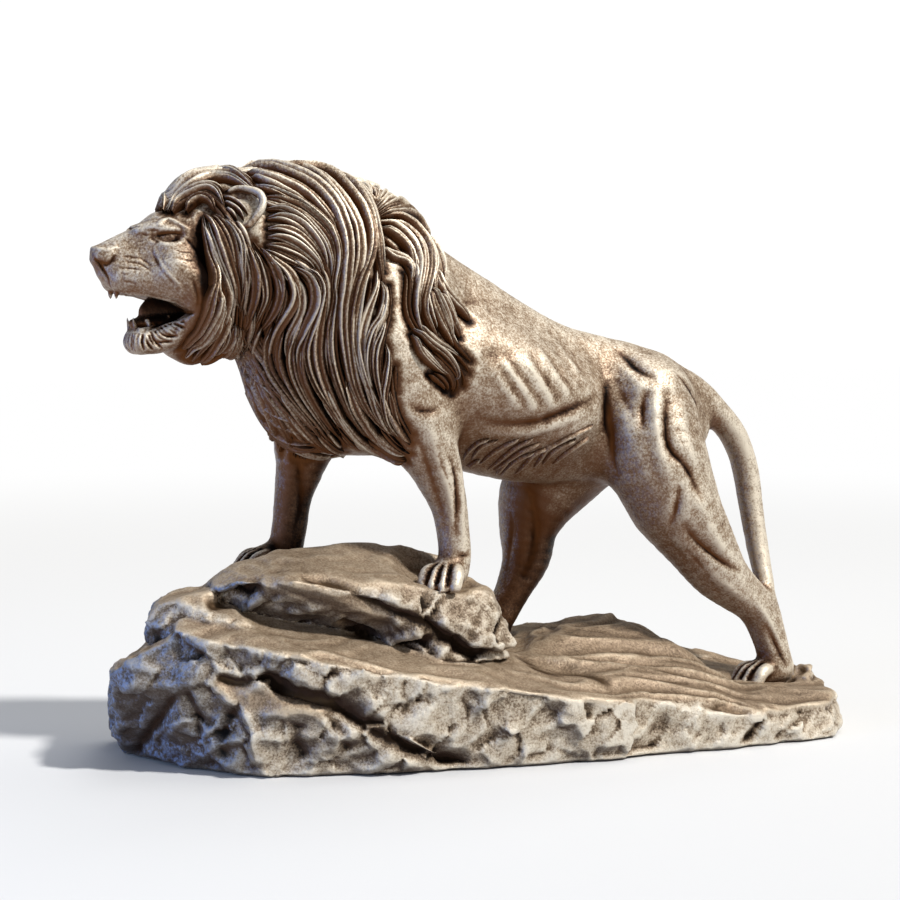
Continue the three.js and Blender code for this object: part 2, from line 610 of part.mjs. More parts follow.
// The mound that carries a paw, level on top
function mound(foot) {
  const top = pawPlace(foot)[2] - SEAT_CLEARANCE;
  return hull([...ringRound(foot, 1, top), ...ringRound(foot, MOUND_SPREAD, top * MOUND_FOOT)]);
}

const HOLLOW_SPREAD = 1.25; // how much wider the hollow is above than at its bottom
const HOLLOW_HEIGHT = 45; // how far up the rock is cleared over a paw

// The hollow that a paw stands in
function hollow(foot) {
  const bottom = pawPlace(foot)[2] - SEAT_CLEARANCE;
  return hull([...ringRound(foot, 1, bottom), ...ringRound(foot, HOLLOW_SPREAD, bottom + HOLLOW_HEIGHT)]);
}

function rockSolid() {
  const blocks = [
    ...FRONT_BLOCKS.map((corners) => block(corners, frontRise)),
    ...REAR_BLOCKS.map((corners) => block(corners, rearRise)),
    ...PAWS.map(mound),
  ];
  let rock = joined(blocks);
  for (const foot of PAWS) {
    rock = rock.subtract(hollow(foot));
  }
  const below = sizedBox([-BASE_LENGTH, -BASE_WIDTH, -2 * CASTING_DEPTH], [BASE_LENGTH, BASE_WIDTH, 0]);
  return rock.subtract(below);
}

// Meshes

// The separate shells of a closed surface, each a list of triangles
function shellsOf(triangles, pointCount) {
  const leader = Array.from({ length: pointCount }, (_, i) => i);
  const find = (i) => {
    let found = i;
    while (leader[found] !== found) {
      leader[found] = leader[leader[found]];
      found = leader[found];
    }
    return found;
  };
  for (const [a, b, c] of triangles) {
    leader[find(b)] = find(a);
    leader[find(c)] = find(a);
  }
  const shells = new Map();
  for (const triangle of triangles) {
    const key = find(triangle[0]);
    shells.set(key, [...(shells.get(key) ?? []), triangle]);
  }
  return [...shells.values()];
}

// Volume inside a shell, negative for a pocket of air
function volumeOf(shell, points) {
  return shell.reduce((volume, [a, b, c]) => {
    const normal = new THREE.Vector3().crossVectors(points[b], points[c]);
    return volume + points[a].dot(normal) / 6;
  }, 0);
}

// A mesh of a solid. Pockets of air that locks of hair close off between them are filled.
function meshOf(name, solid, color) {
  const { vertProperties, triVerts } = solid.getMesh();
  const points = [];
  for (let i = 0; i < vertProperties.length; i += 3) {
    points.push(new THREE.Vector3().fromArray(vertProperties, i));
  }
  const triangles = [];
  for (let i = 0; i < triVerts.length; i += 3) {
    triangles.push([...triVerts.subarray(i, i + 3)]);
  }
  const kept = shellsOf(triangles, points.length).filter((shell) => volumeOf(shell, points) > 0).flat();
  const corners = kept.flat().flatMap((corner) => points[corner].toArray());
  const loose = new THREE.BufferGeometry();
  loose.setAttribute("position", new THREE.BufferAttribute(new Float32Array(corners), 3));
  const geometry = mergeVertices(loose, 1e-5);
  geometry.computeVertexNormals();
  const bronze = new THREE.MeshStandardMaterial({ color, metalness: 0.8, roughness: 0.45 });
  const mesh = new THREE.Mesh(geometry, bronze);
  mesh.name = name;
  return mesh;
}

const sculpture = new THREE.Group();
const lion = meshOf("lion", lionSolid(), 0x6e5a45);
lion.scale.setScalar(unit);
lion.position.z = lift;
sculpture.add(lion);
sculpture.add(meshOf("rock_base", rockSolid(), 0x7d6a50));

export default sculpture;
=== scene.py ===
"""A cast bronze lion standing on a stepped rock, its mouth open.

Millimetres in the tables and in all shape code, metres in the finished meshes.
X runs from the head to the tail, Y from the lion's left to its right, Z up.
"""
import math
import bmesh
import bpy
import numpy as np
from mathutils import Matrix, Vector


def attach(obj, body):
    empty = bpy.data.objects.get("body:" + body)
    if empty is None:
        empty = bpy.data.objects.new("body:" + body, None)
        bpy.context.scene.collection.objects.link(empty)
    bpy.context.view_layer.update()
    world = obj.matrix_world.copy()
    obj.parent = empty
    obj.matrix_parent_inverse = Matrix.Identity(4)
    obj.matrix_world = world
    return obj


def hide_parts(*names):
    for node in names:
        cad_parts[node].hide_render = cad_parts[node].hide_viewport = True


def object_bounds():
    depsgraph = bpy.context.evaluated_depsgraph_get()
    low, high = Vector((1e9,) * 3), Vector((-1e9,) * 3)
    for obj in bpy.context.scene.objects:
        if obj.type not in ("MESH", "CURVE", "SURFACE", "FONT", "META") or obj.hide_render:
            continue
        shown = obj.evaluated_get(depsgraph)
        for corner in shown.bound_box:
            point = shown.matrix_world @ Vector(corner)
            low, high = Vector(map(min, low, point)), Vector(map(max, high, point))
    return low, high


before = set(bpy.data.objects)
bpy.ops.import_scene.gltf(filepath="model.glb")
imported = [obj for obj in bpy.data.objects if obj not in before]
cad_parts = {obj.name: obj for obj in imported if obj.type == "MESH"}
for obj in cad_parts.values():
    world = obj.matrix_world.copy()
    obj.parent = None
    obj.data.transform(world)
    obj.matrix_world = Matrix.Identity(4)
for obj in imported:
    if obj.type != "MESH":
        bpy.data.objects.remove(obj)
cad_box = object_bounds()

import openvdb
from mathutils import Vector
from mathutils.kdtree import KDTree

MM = 0.001

# Camera, at the photograph's viewing angle: turned toward the head and a little above the horizon

AZIMUTH = math.radians(-25)
ELEVATION = math.radians(4)
LENS = 85.0
SENSOR = 36
DISTANCE = 1280.0
TARGET = np.array([-15.0, 0.0, 178.0])
IMAGE = 900
FOCAL = LENS / SENSOR * IMAGE

back = np.array([
    math.sin(AZIMUTH) * math.cos(ELEVATION),
    -math.cos(AZIMUTH) * math.cos(ELEVATION),
    math.sin(ELEVATION),
])
right = np.array([math.cos(AZIMUTH), math.sin(AZIMUTH), 0.0])
up = np.cross(back, right)
eye = TARGET + back * DISTANCE

camera = bpy.data.objects.new("camera", bpy.data.cameras.new("camera"))
bpy.context.scene.collection.objects.link(camera)
camera.data.lens = LENS
camera.data.clip_start = 0.05
camera.data.clip_end = 30
camera.location = Vector(eye * MM)
camera.rotation_mode = "QUATERNION"
camera.rotation_quaternion = Vector(-back).to_track_quat("-Z", "Y")
bpy.context.scene.camera = camera
bpy.context.scene.view_settings.view_transform = "Standard"

# Forms of the lion

# Each form is a chain of balls: its name, whether it has a twin on the other side, how softly it joins
# what is there, how wide it is across the body against its height, and its points with their radii.
TRUNK = [
    ("torso", 0, 0, .62, [(-70, 0, 240, 54), (-35, 0, 234, 57), (0, 0, 219, 54), (35, 0, 206, 49),
        (70, 0, 199, 43.5), (105, 0, 197, 39), (132, 0, 194, 34)]),
    ("neck", 0, 20, .72, [(-150, 0, 296, 38), (-120, 0, 289, 53), (-88, 0, 268, 60), (-80, 0, 241, 58)]),
    ("chest", 0, 16, .8, [(-114, 0, 262, 25), (-101, 0, 234, 27), (-97, 0, 214, 26)]),
    ("back", 0, 12, .9, [(-36, 0, 285, 14), (-8, 0, 270, 13), (20, 0, 255, 12), (55, 0, 239, 11.5),
        (95, 0, 231, 11), (125, 0, 220, 12)]),
    ("rib_cage", 1, 14, .7, [(-20, 26, 228, 30), (15, 26, 214, 31), (45, 24, 204, 26)]),
    ("near_thigh", 0, 12, .8, [(112, -18, 203, 30), (113, -24, 175, 33), (122, -27, 150, 28)]),
    ("far_thigh", 0, 12, .8, [(104, 18, 200, 30), (84, 24, 174, 31), (76, 27, 162, 27)]),
    ("withers", 0, 6, 1.1, [(-96, 0, 312, 21), (-68, 0, 310, 18), (-48, 0, 305, 13)]),
    ("near_shoulder", 0, 14, .8, [(-52, -24, 262, 24), (-66, -30, 228, 28), (-52, -32, 194, 20)]),
    ("far_shoulder", 0, 14, .8, [(-70, 24, 250, 24), (-88, 30, 218, 24), (-96, 31, 192, 20)]),
]
LIMBS = [
    ("near_shin", 0, 8, 1, [(118, -25, 164, 26), (126, -28, 142, 26.5), (142, -30, 118, 22),
        (157, -30, 98, 17.5), (172, -30, 84, 13.2), (184, -30, 73, 11.2), (193, -30, 56, 10),
        (200, -30, 36, 9.8)]),
    ("near_cord", 0, 5, 1, [(168, -30, 96, 8), (182, -30, 84, 7.3), (193, -30, 74, 5.8),
        (199, -30, 54, 5.2), (205, -30, 36, 4.6)]),
    ("far_shin", 0, 8, 1, [(80, 25, 174, 27), (63, 28, 152, 26.5), (54, 30, 128, 19), (52, 30, 106, 15),
        (42, 30, 85, 11), (32, 30, 68, 10), (27, 30, 58, 9)]),
    ("near_forearm", 0, 9, 1, [(-50, -32, 196, 18), (-40, -32, 172, 15), (-31, -31, 150, 11),
        (-27, -30, 132, 9.7), (-26, -30, 118, 9.7), (-28, -30, 110, 10)]),
    ("far_forearm", 0, 9, 1, [(-95, 31, 196, 18), (-99, 31, 172, 15), (-104, 31, 152, 11.5),
        (-107, 30, 133, 10.5), (-110, 30, 118, 10.5), (-112, 30, 114, 10)]),
    ("tail", 0, 6, 1, [(128, 0, 216, 13), (155, 0, 209, 10.3), (171, -1, 197, 9.2), (185, -2, 181, 8.7),
        (193, -3, 160, 8.3), (195, -8, 132, 7.6), (196, -16, 104, 6.7), (196, -24, 84, 5.7),
        (197, -28, 68, 4.9), (201, -30, 46, 4.5), (206, -30, 31, 3.8)]),
]
HEAD = [
    ("throat", 0, 0, 1, [(-146, 0, 270, 26), (-164, 0, 254, 17), (-178, 0, 244, 11)]),
    ("skull", 0, 12, .95, [(-150, 0, 296, 28), (-168, 0, 298, 27), (-188, 0, 299, 21)]),
    ("forelock", 0, 5, 1.3, [(-180, 0, 318, 5), (-173, 0, 325, 9), (-158, 0, 323, 14), (-140, 0, 320, 20)]),
    ("muzzle", 0, 8, 1, [(-196, 0, 292, 17), (-212, 0, 287, 14), (-222, 0, 286, 10.5)]),
    ("bridge", 0, 5, 1.1, [(-192, 0, 304, 10), (-212, 0, 299, 8), (-229, 0, 293, 6.3)]),
    ("lip_pad", 1, 4, 1, [(-219, 7, 280, 8.6), (-207, 11, 279, 10.3), (-196, 15, 277, 10)]),
    ("cheek", 1, 8, 1, [(-190, 17, 284, 13), (-178, 20, 272, 14), (-182, 17, 262, 10)]),
    ("jaw", 1, 5, 1, [(-176, 14, 258, 11), (-196, 9, 247, 8), (-208, 5, 245, 7.6)]),
    ("brow", 1, 4, 1, [(-209, 7, 306.5, 3.0), (-199, 12, 307.5, 3.0), (-187, 18, 303, 2.4)]),
    ("nose", 1, 2, 1, [(-226, 5, 292, 4.0), (-230.5, 3, 291.5, 4.0), (-230.5, 0, 291.5, 4.2)]),
    ("beard", 0, 5, 1.2, [(-186, 0, 243, 8), (-175, 0, 242, 10.5), (-164, 0, 247, 12)]),
]
# The gap between the jaws, x and z in side view
MOUTH = [(-244, 272), (-219, 271.5), (-206, 270.5), (-193, 267), (-184, 261), (-190, 256.5), (-200, 253.5),
         (-215, 252.5), (-222, 252), (-244, 246)]
# The mouth's hollow behind that gap, the flesh at its back, and the tongue
HOLLOWS = [
    [(-186, 0, 262, 5.5), (-200, 0, 262, 8), (-214, 0, 262, 7)],
    [(-186, 8, 262, 4), (-200, 6, 261, 6)],
    [(-186, -8, 262, 4), (-200, -6, 261, 6)],
]
MOUTH_BACK = [(-182, 0, 262, 11), (-194, 0, 262, 10.5), (-199, 0, 260, 9)]
TONGUE = [(-180, 0, 256, 5), (-192, 0, 255.5, 5.0), (-203, 0, 255.5, 4.2), (-211, 0, 255, 2.6)]
# The fangs and the next teeth of one side, upper ones first
FANGS = [
    [(-221.5, 6.2, 276, 2.2), (-222.3, 6, 271.5, 1.5), (-222.3, 5.6, 268.8, 0.5)],
    [(-213, 8.5, 274, 1.5), (-213, 8, 271.5, 0.9), (-212.5, 7.5, 270, 0.4)],
    [(-211, 6, 249, 1.5), (-212, 6, 254, 1.1), (-213, 5.8, 258, 0.5)],
    [(-203, 7.5, 251, 1.4), (-204.3, 7, 254.5, 0.9), (-205, 6.6, 256.6, 0.4)],
]
# Paws: x, y, height of the sole and how far the toes turn to the lion's left, in degrees
PAWS = [(-33, -35, 98, 47), (-120, 31, 104, 0), (191, -31, 23, 8), (20, 31, 50, 0)]


def spline(points, steps=4):
    """A smooth curve through points, with so many steps between each two."""
    p = np.array(points, float)
    if len(p) < 3:
        return p
    q = np.vstack([2 * p[0] - p[1], p, 2 * p[-1] - p[-2]])
    out = []
    for i in range(1, len(q) - 2):
        a, b, c, d = q[i - 1], q[i], q[i + 1], q[i + 2]
        for s in range(steps):
            t = s / steps
            out.append(0.5 * (2 * b + (c - a) * t + (2 * a - 5 * b + 4 * c - d) * t * t
                              + (3 * b - a - 3 * c + d) * t ** 3))
    out.append(p[-1])
    return np.array(out)


def chain_distance(X, Y, Z, pts, flat):
    """Distance from a grid to a chain of balls that is flattened or widened across the body."""
    best = None
    for a, b in zip(pts[:-1], pts[1:]):
        dx, dy, dz = b[0] - a[0], (b[1] - a[1]) / flat, b[2] - a[2]
        xx, yy, zz = X - a[0], (Y - a[1]) / flat, Z - a[2]
        t = np.clip((xx * dx + yy * dy + zz * dz) / (dx * dx + dy * dy + dz * dz + 1e-9), 0, 1)
        d = np.sqrt((xx - dx * t) ** 2 + (yy - dy * t) ** 2 + (zz - dz * t) ** 2)
        d = d - (a[3] + (b[3] - a[3]) * t)
        d = d * min(flat, 1.0)
        best = d if best is None else np.minimum(best, d)
    return best.astype(np.float32)


class Field:
    """A grid of distances to a surface, negative inside."""

    def __init__(self, low, high, step, far=30.0):
        self.low = np.array(low, float)
        self.step = step
        self.size = np.ceil((np.array(high) - self.low) / step).astype(int) + 1
        self.values = np.full(self.size, far, np.float32)

    def window(self, low, high):
        """The part of the grid between two corners, and its coordinates."""
        a = np.clip(np.floor((np.array(low) - self.low) / self.step).astype(int), 0, self.size)
        b = np.clip(np.ceil((np.array(high) - self.low) / self.step).astype(int) + 1, 0, self.size)
        cut = tuple(slice(x, y) for x, y in zip(a, b))
        axes = [(self.low[i] + self.step * np.arange(a[i], b[i])).astype(np.float32) for i in range(3)]
        return cut, axes[0][:, None, None], axes[1][None, :, None], axes[2][None, None, :]

    def join(self, cut, d, blend, carve=False):
        """Adds or cuts away a form, given by its distances, with a rounded seam."""
        now = self.values[cut]
        k = max(blend, 1e-3)
        if carve:
            h = np.clip(0.5 - 0.5 * (now + d) / k, 0, 1)
            self.values[cut] = now * (1 - h) - d * h + k * h * (1 - h)
        else:
            h = np.clip(0.5 + 0.5 * (now - d) / k, 0, 1)
            self.values[cut] = now * (1 - h) + d * h - k * h * (1 - h)

    def chain(self, points, blend, flat, carve=False):
        pts = np.array(points, float)
        room = pts[:, 3].max() + blend + 12
        cut, X, Y, Z = self.window(pts[:, :3].min(0) - room, pts[:, :3].max(0) + room)
        self.join(cut, chain_distance(X, Y, Z, pts, flat), blend, carve)

    def forms(self, table):
        for _, pair, blend, flat, points in table:
            curve = spline(points)
            for side in ((1, -1) if pair else (1,)):
                self.chain(curve * np.array([1, side, 1, 1]), blend, flat)

    def sample(self, P):
        """The distances at any points, from the eight grid points around each."""
        q = (np.asarray(P, float) - self.low) / self.step
        q = np.clip(q, 0, self.size - 1.001)
        i = np.floor(q).astype(int)
        f = q - i
        v = self.values
        x, y, z = i[..., 0], i[..., 1], i[..., 2]
        fx, fy, fz = f[..., 0], f[..., 1], f[..., 2]
        c00 = v[x, y, z] * (1 - fx) + v[x + 1, y, z] * fx
        c10 = v[x, y + 1, z] * (1 - fx) + v[x + 1, y + 1, z] * fx
        c01 = v[x, y, z + 1] * (1 - fx) + v[x + 1, y, z + 1] * fx
        c11 = v[x, y + 1, z + 1] * (1 - fx) + v[x + 1, y + 1, z + 1] * fx
        return (c00 * (1 - fy) + c10 * fy) * (1 - fz) + (c01 * (1 - fy) + c11 * fy) * fz

    def slope(self, P, reach=1.0):
        P = np.asarray(P, float)
        steps = np.eye(3) * reach
        return np.stack([self.sample(P + e) - self.sample(P - e) for e in steps], -1) / (2 * reach)

    def normal(self, P, reach=1.0):
        g = self.slope(P, reach)
        return g / np.maximum(np.linalg.norm(g, axis=-1, keepdims=True), 1e-6)

    def settle(self, P, walks=6):
        """Moves points onto the surface."""
        P = np.array(P, float)
        for _ in range(walks):
            g = self.slope(P)
            P = P - g * (self.sample(P) / np.maximum((g * g).sum(-1), 0.2))[..., None]
        return P

    def surface(self):
        """Points and quads of the surface at distance zero."""
        grid = openvdb.FloatGrid(30.0)
        grid.copyFromArray(self.values)
        grid.transform = openvdb.createLinearTransform(voxelSize=self.step)
        points, quads = grid.convertToQuads(isovalue=0.0)
        return points.astype(float) + self.low, quads.astype(np.int32)


# Noise and lines

def hashed(i, j, k, seed):
    """A fixed number from 0 to 1 for every whole place and seed."""
    h = (i * 374761393 + j * 668265263 + k * 1440662683 + seed * 974634777) & 0xffffffff
    h = ((h ^ (h >> 13)) * 1274126177) & 0xffffffff
    h = ((h ^ (h >> 15)) * 2246822519) & 0xffffffff
    return ((h ^ (h >> 16)) & 0xffffff) / float(0xffffff)


def noise(P, scale, seed):
    """Smooth value noise from -1 to 1."""
    q = np.asarray(P, float) / np.asarray(scale, float)
    i = np.floor(q).astype(np.int64)
    f = q - i
    f = f * f * f * (f * (f * 6 - 15) + 10)
    total = 0
    for dx in (0, 1):
        for dy in (0, 1):
            for dz in (0, 1):
                w = (f[..., 0] if dx else 1 - f[..., 0]) * (f[..., 1] if dy else 1 - f[..., 1]) \
                    * (f[..., 2] if dz else 1 - f[..., 2])
                total = total + w * hashed(i[..., 0] + dx, i[..., 1] + dy, i[..., 2] + dz, seed)
    return total * 2 - 1


def layered(P, scale, octaves, seed):
    """Noise of several sizes, each half as large and half as strong as the one before."""
    total, weight, norm = 0, 1.0, 0.0
    for n in range(octaves):
        total = total + weight * noise(P, np.asarray(scale, float) / 2 ** n, seed + 17 * n)
        norm += weight
        weight *= 0.5
    return total / norm


def cells(P, scale, seed):
    """The own number of the nearest of scattered points, and the way from it."""
    def own(c, n):
        return hashed(c[..., 0], c[..., 1], c[..., 2], seed + n)

    scale = np.asarray(scale, float)
    q = np.asarray(P, float) / scale
    i = np.floor(q).astype(np.int64)
    best = np.full(q.shape[:-1], 9.0)
    number = np.zeros_like(best)
    offset = np.zeros_like(q)
    for dx in (-1, 0, 1):
        for dy in (-1, 0, 1):
            for dz in (-1, 0, 1):
                c = i + np.array([dx, dy, dz])
                spot = c + np.stack([own(c, n) for n in (1, 2, 3)], -1)
                away = q - spot
                d = np.linalg.norm(away, axis=-1)
                nearer = d < best
                number = np.where(nearer, own(c, 4), number)
                offset = np.where(nearer[..., None], away, offset)
                best = np.where(nearer, d, best)
    return number, offset * scale


def resample(points, count):
    """So many points at even distances on a smooth curve through the given ones."""
    p = spline(points, 6)
    length = np.concatenate([[0], np.cumsum(np.linalg.norm(np.diff(p, axis=0), axis=1))])
    at = np.linspace(0, length[-1], count)
    return np.stack([np.interp(at, length, p[:, k]) for k in range(p.shape[1])], -1)


def line_distance(P, line, reach):
    """Distance from points to a line and the share along it, only worked out within reach."""
    line = np.asarray(line, float)
    low, high = line.min(0) - reach, line.max(0) + reach
    near = np.nonzero(((P > low) & (P < high)).all(1))[0]
    Q = P[near]
    best = np.full(len(near), 1e3)
    share = np.zeros(len(near))
    count = len(line) - 1
    for n, (a, b) in enumerate(zip(line[:-1], line[1:])):
        ab = b - a
        t = np.clip(((Q - a) @ ab) / max(ab @ ab, 1e-9), 0, 1)
        d = np.linalg.norm(Q - a - t[:, None] * ab, axis=1)
        closer = d < best
        best[closer] = d[closer]
        share[closer] = (n + t[closer]) / count
    return near, best, share


# Fields of the body and the head

# the lowest and highest corner of each grid, and its step
BODY_GRID = ((-170, -62, 14), (222, 62, 346), 1.6)
HEAD_GRID = ((-242, -44, 226), (-112, 44, 352), 0.75)
WHOLE_GRID = ((-246, -66, 12), (224, 66, 356), 2.0)
body = Field(*BODY_GRID)
body.forms(TRUNK)
body.forms(LIMBS)


TOE_SPREAD = 9.6  # from the middle of the paw to the middle of its outer toe
TOE_REACH = 19  # from the middle of the paw to the tip of its longest toes


def paw_forms(x, y, sole, turn):
    """The heel, four toes and their claws, each toe shorter the further it is from the middle."""
    c, s = math.cos(math.radians(turn)), math.sin(math.radians(turn))

    def at(forward, aside, height, radius):
        return (x - forward * c - aside * s, y - forward * s + aside * c, sole + height, radius)

    forms = [("heel", 0, 4, 1, [at(-11, 0, 11, 8.2), at(-3, 0, 10.5, 9.4), at(5, 0, 9, 9)])]
    for n in range(4):
        side = 2 * n / 3 - 1
        spread = side * TOE_SPREAD
        tip = spread * 1.03
        reach = TOE_REACH - 3 * side * side
        toe = [at(1, spread * .6, 13, 3.8), at(reach * .62, spread * .95, 11.5, 4.2),
               at(reach * .98, tip, 5, 3.9)]
        claw = [at(reach + 1.5, tip, 5.5, 2.1), at(reach + 4.6, tip, 2, .8)]
        forms += [("toe", 0, 1.0, 1, toe), ("claw", 0, 0.4, 1, claw)]
    return forms


for x, y, sole, turn in PAWS:
    body.forms(paw_forms(x, y, sole, turn))
    # the paw ends flat, a hair above its sole's height
    cut, X, Y, Z = body.window((x - 45, y - 28, sole - 30), (x + 45, y + 28, sole + 12))
    body.values[cut] = np.maximum(body.values[cut], sole + 0.1 - Z)

head = Field(*HEAD_GRID)
head.forms(HEAD)
# the whole figure, coarser: what hair and lines are laid on
whole = Field(*WHOLE_GRID)
for table in (TRUNK, LIMBS, HEAD):
    whole.forms(table)


def polygon_distance(X, Z, corners):
    """Signed distance in side view to a closed outline, negative inside."""
    best = np.full(np.broadcast(X, Z).shape, 1e3)
    inside = np.zeros(best.shape, bool)
    for (ax, az), (bx, bz) in zip(corners, corners[1:] + corners[:1]):
        ex, ez = bx - ax, bz - az
        t = np.clip(((X - ax) * ex + (Z - az) * ez) / (ex * ex + ez * ez), 0, 1)
        best = np.minimum(best, np.hypot(X - ax - t * ex, Z - az - t * ez))
        crosses = ((az > Z) != (bz > Z)) & (X < (bx - ax) * (Z - az) / (bz - az + 1e-12) + ax)
        inside ^= crosses
    return np.where(inside, -best, best)


cut, X, Y, Z = head.window((-242, -44, 240), (-170, 44, 280))
head.join(cut, polygon_distance(X, Z, MOUTH).astype(np.float32), blend=2.2, carve=True)
for points in HOLLOWS:
    head.chain(spline(points), blend=2, flat=1.2, carve=True)
head.chain(spline(MOUTH_BACK), blend=1.5, flat=.4)
head.chain(spline(TONGUE), blend=1.2, flat=1.7)

NEAREST = 1000  # the least and greatest distance from the camera at which the object can lie
FARTHEST = 1560


def seen(pixels, field=None):
    """Points on a surface, the lion's if none is named, that show at the photograph's pixels."""
    field = field or whole
    out = []
    for u, v in pixels:
        ray = -back * FOCAL + right * (u - IMAGE / 2) - up * (v - IMAGE / 2)
        ray = ray / np.linalg.norm(ray)
        t = np.arange(NEAREST, FARTHEST, 1.0)
        P = eye + t[:, None] * ray
        f = field.sample(P)
        low, high = field.low, field.low + field.step * (field.size - 1)
        f = np.where(((P > low) & (P < high)).all(1), f, 30)
        hit = int(np.argmax(f < 0))
        if f[hit] >= 0:
            hit = int(np.argmin(f))
        out.append(P[hit])
    return np.array(out)


# The ear: its rim as it shows in the photograph, and the bowl inside it
EAR_RIM = [(229, 192), (238, 190), (249, 191.5), (259, 196), (263, 204), (260, 213), (254, 221), (247, 227),
           (240, 229)]
RIM_RISE = np.array([1.0, 1.8, 2.4, 3.0, 3.4, 3.6, 3.2, 2.4, 1.2])
RIM_RADII = [1.2, 1.7, 2.0, 2.2, 2.3, 2.3, 2.1, 1.8, 1.2]
EAR_BOWL = [(234, 203), (241, 208), (245, 217)]
BOWL_RADII = [4.6, 5.6, 4.4]
BOWL_RISE = 1.4
rim = seen(EAR_RIM)
rim = rim + whole.normal(rim, 2.0) * RIM_RISE[:, None]
bowl = seen(EAR_BOWL)
bowl = bowl + whole.normal(bowl, 2.0) * BOWL_RISE
for side in (1, -1):
    turn = np.array([1, side, 1])
    head.chain(spline(np.column_stack([rim * turn, RIM_RADII])), blend=1.4, flat=1)
    head.chain(spline(np.column_stack([bowl * turn, BOWL_RADII])), blend=1.6, flat=1, carve=True)
for fang in FANGS:
    for side in (1, -1):
        head.chain(spline(np.array(fang) * np.array([1, side, 1, 1])), blend=0.6, flat=1)


# Meshes

def mesh_of(name, points, faces, attributes):
    """A smooth object from points, faces of one kind and a number for each point by attribute."""
    mesh = bpy.data.meshes.new(name)
    faces = np.asarray(faces, np.int32)
    # nothing reaches past the box of the CAD model
    places = np.clip(points * MM, np.array(cad_box[0]), np.array(cad_box[1]))
    mesh.vertices.add(len(points))
    mesh.vertices.foreach_set("co", places.astype(np.float32).ravel())
    mesh.loops.add(faces.size)
    mesh.polygons.add(len(faces))
    mesh.loops.foreach_set("vertex_index", faces.ravel())
    mesh.polygons.foreach_set("loop_start", np.arange(0, faces.size, faces.shape[1], dtype=np.int32))
    mesh.update()
    mesh.validate()
    mesh.polygons.foreach_set("use_smooth", np.full(len(mesh.polygons), True))
    for key, values in attributes.items():
        layer = mesh.attributes.new(key, "FLOAT", "POINT")
        layer.data.foreach_set("value", np.asarray(values, np.float32))
    piece = bpy.data.objects.new(name, mesh)
    bpy.context.scene.collection.objects.link(piece)
    return piece


def edges_of(faces):
    e = np.vstack([faces[:, [i, (i + 1) % faces.shape[1]]] for i in range(faces.shape[1])])
    return np.unique(np.sort(e, axis=1), axis=0)


def smoothed(values, edges, rounds, share=1.0):
    """Averages values over neighbours."""
    count = np.bincount(edges.ravel(), minlength=len(values)).astype(float)[:, None]
    flat = values.reshape(len(values), -1).astype(float)
    for _ in range(rounds):
        total = np.stack([np.bincount(edges[:, 0], flat[edges[:, 1], c], len(flat))
                          + np.bincount(edges[:, 1], flat[edges[:, 0], c], len(flat))
                          for c in range(flat.shape[1])], -1)
        flat = flat * (1 - share) + share * total / np.maximum(count, 1)
    return flat.reshape(values.shape)


def normals_of(points, faces):
    a = points[faces[:, 2]] - points[faces[:, 0]]
    b = points[faces[:, -1]] - points[faces[:, 1]]
    n = np.repeat(np.cross(a, b), faces.shape[1], axis=0)
    out = np.stack([np.bincount(faces.ravel(), n[:, c], len(points)) for c in range(3)], -1)
    return out / np.maximum(np.linalg.norm(out, axis=1, keepdims=True), 1e-9)


def convexity(points, faces, edges, rounds):
    """Positive on crests, negative in hollows, in millimetres."""
    return ((points - smoothed(points, edges, rounds)) * normals_of(points, faces)).sum(1)


class Skin:
    """A surface that is carved by moving its points along their normals."""

    def __init__(self, field):
        self.points, self.faces = field.surface()
        self.edges = edges_of(self.faces)
        self.normals = field.normal(self.points)
        self.push = np.zeros(len(self.points))
        self.dark = np.zeros(len(self.points))

    def line(self, line, width, height, ends=0.25, dark=0.0):
        """A ridge along a line, or a groove if its height is negative.
        width is the distance at which it fades, ends the share of the line over which it runs out."""
        near, d, t = line_distance(self.points, line, width * 2.2)
        fade = np.clip(np.minimum(t, 1 - t) / max(ends, 1e-3), 0, 1) ** 0.7
        shape = np.exp(-(d / width) ** 2 * 1.6) * fade
        self.push[near] += height * shape
        self.dark[near] = np.maximum(self.dark[near], dark * shape)

    def finish(self):
        self.points = self.points + self.normals * self.push[:, None]


def both(line):
    """A line and its mirror image on the other side."""
    line = np.asarray(line, float)
    return [line, line * np.array([1, -1, 1])]


# Hair

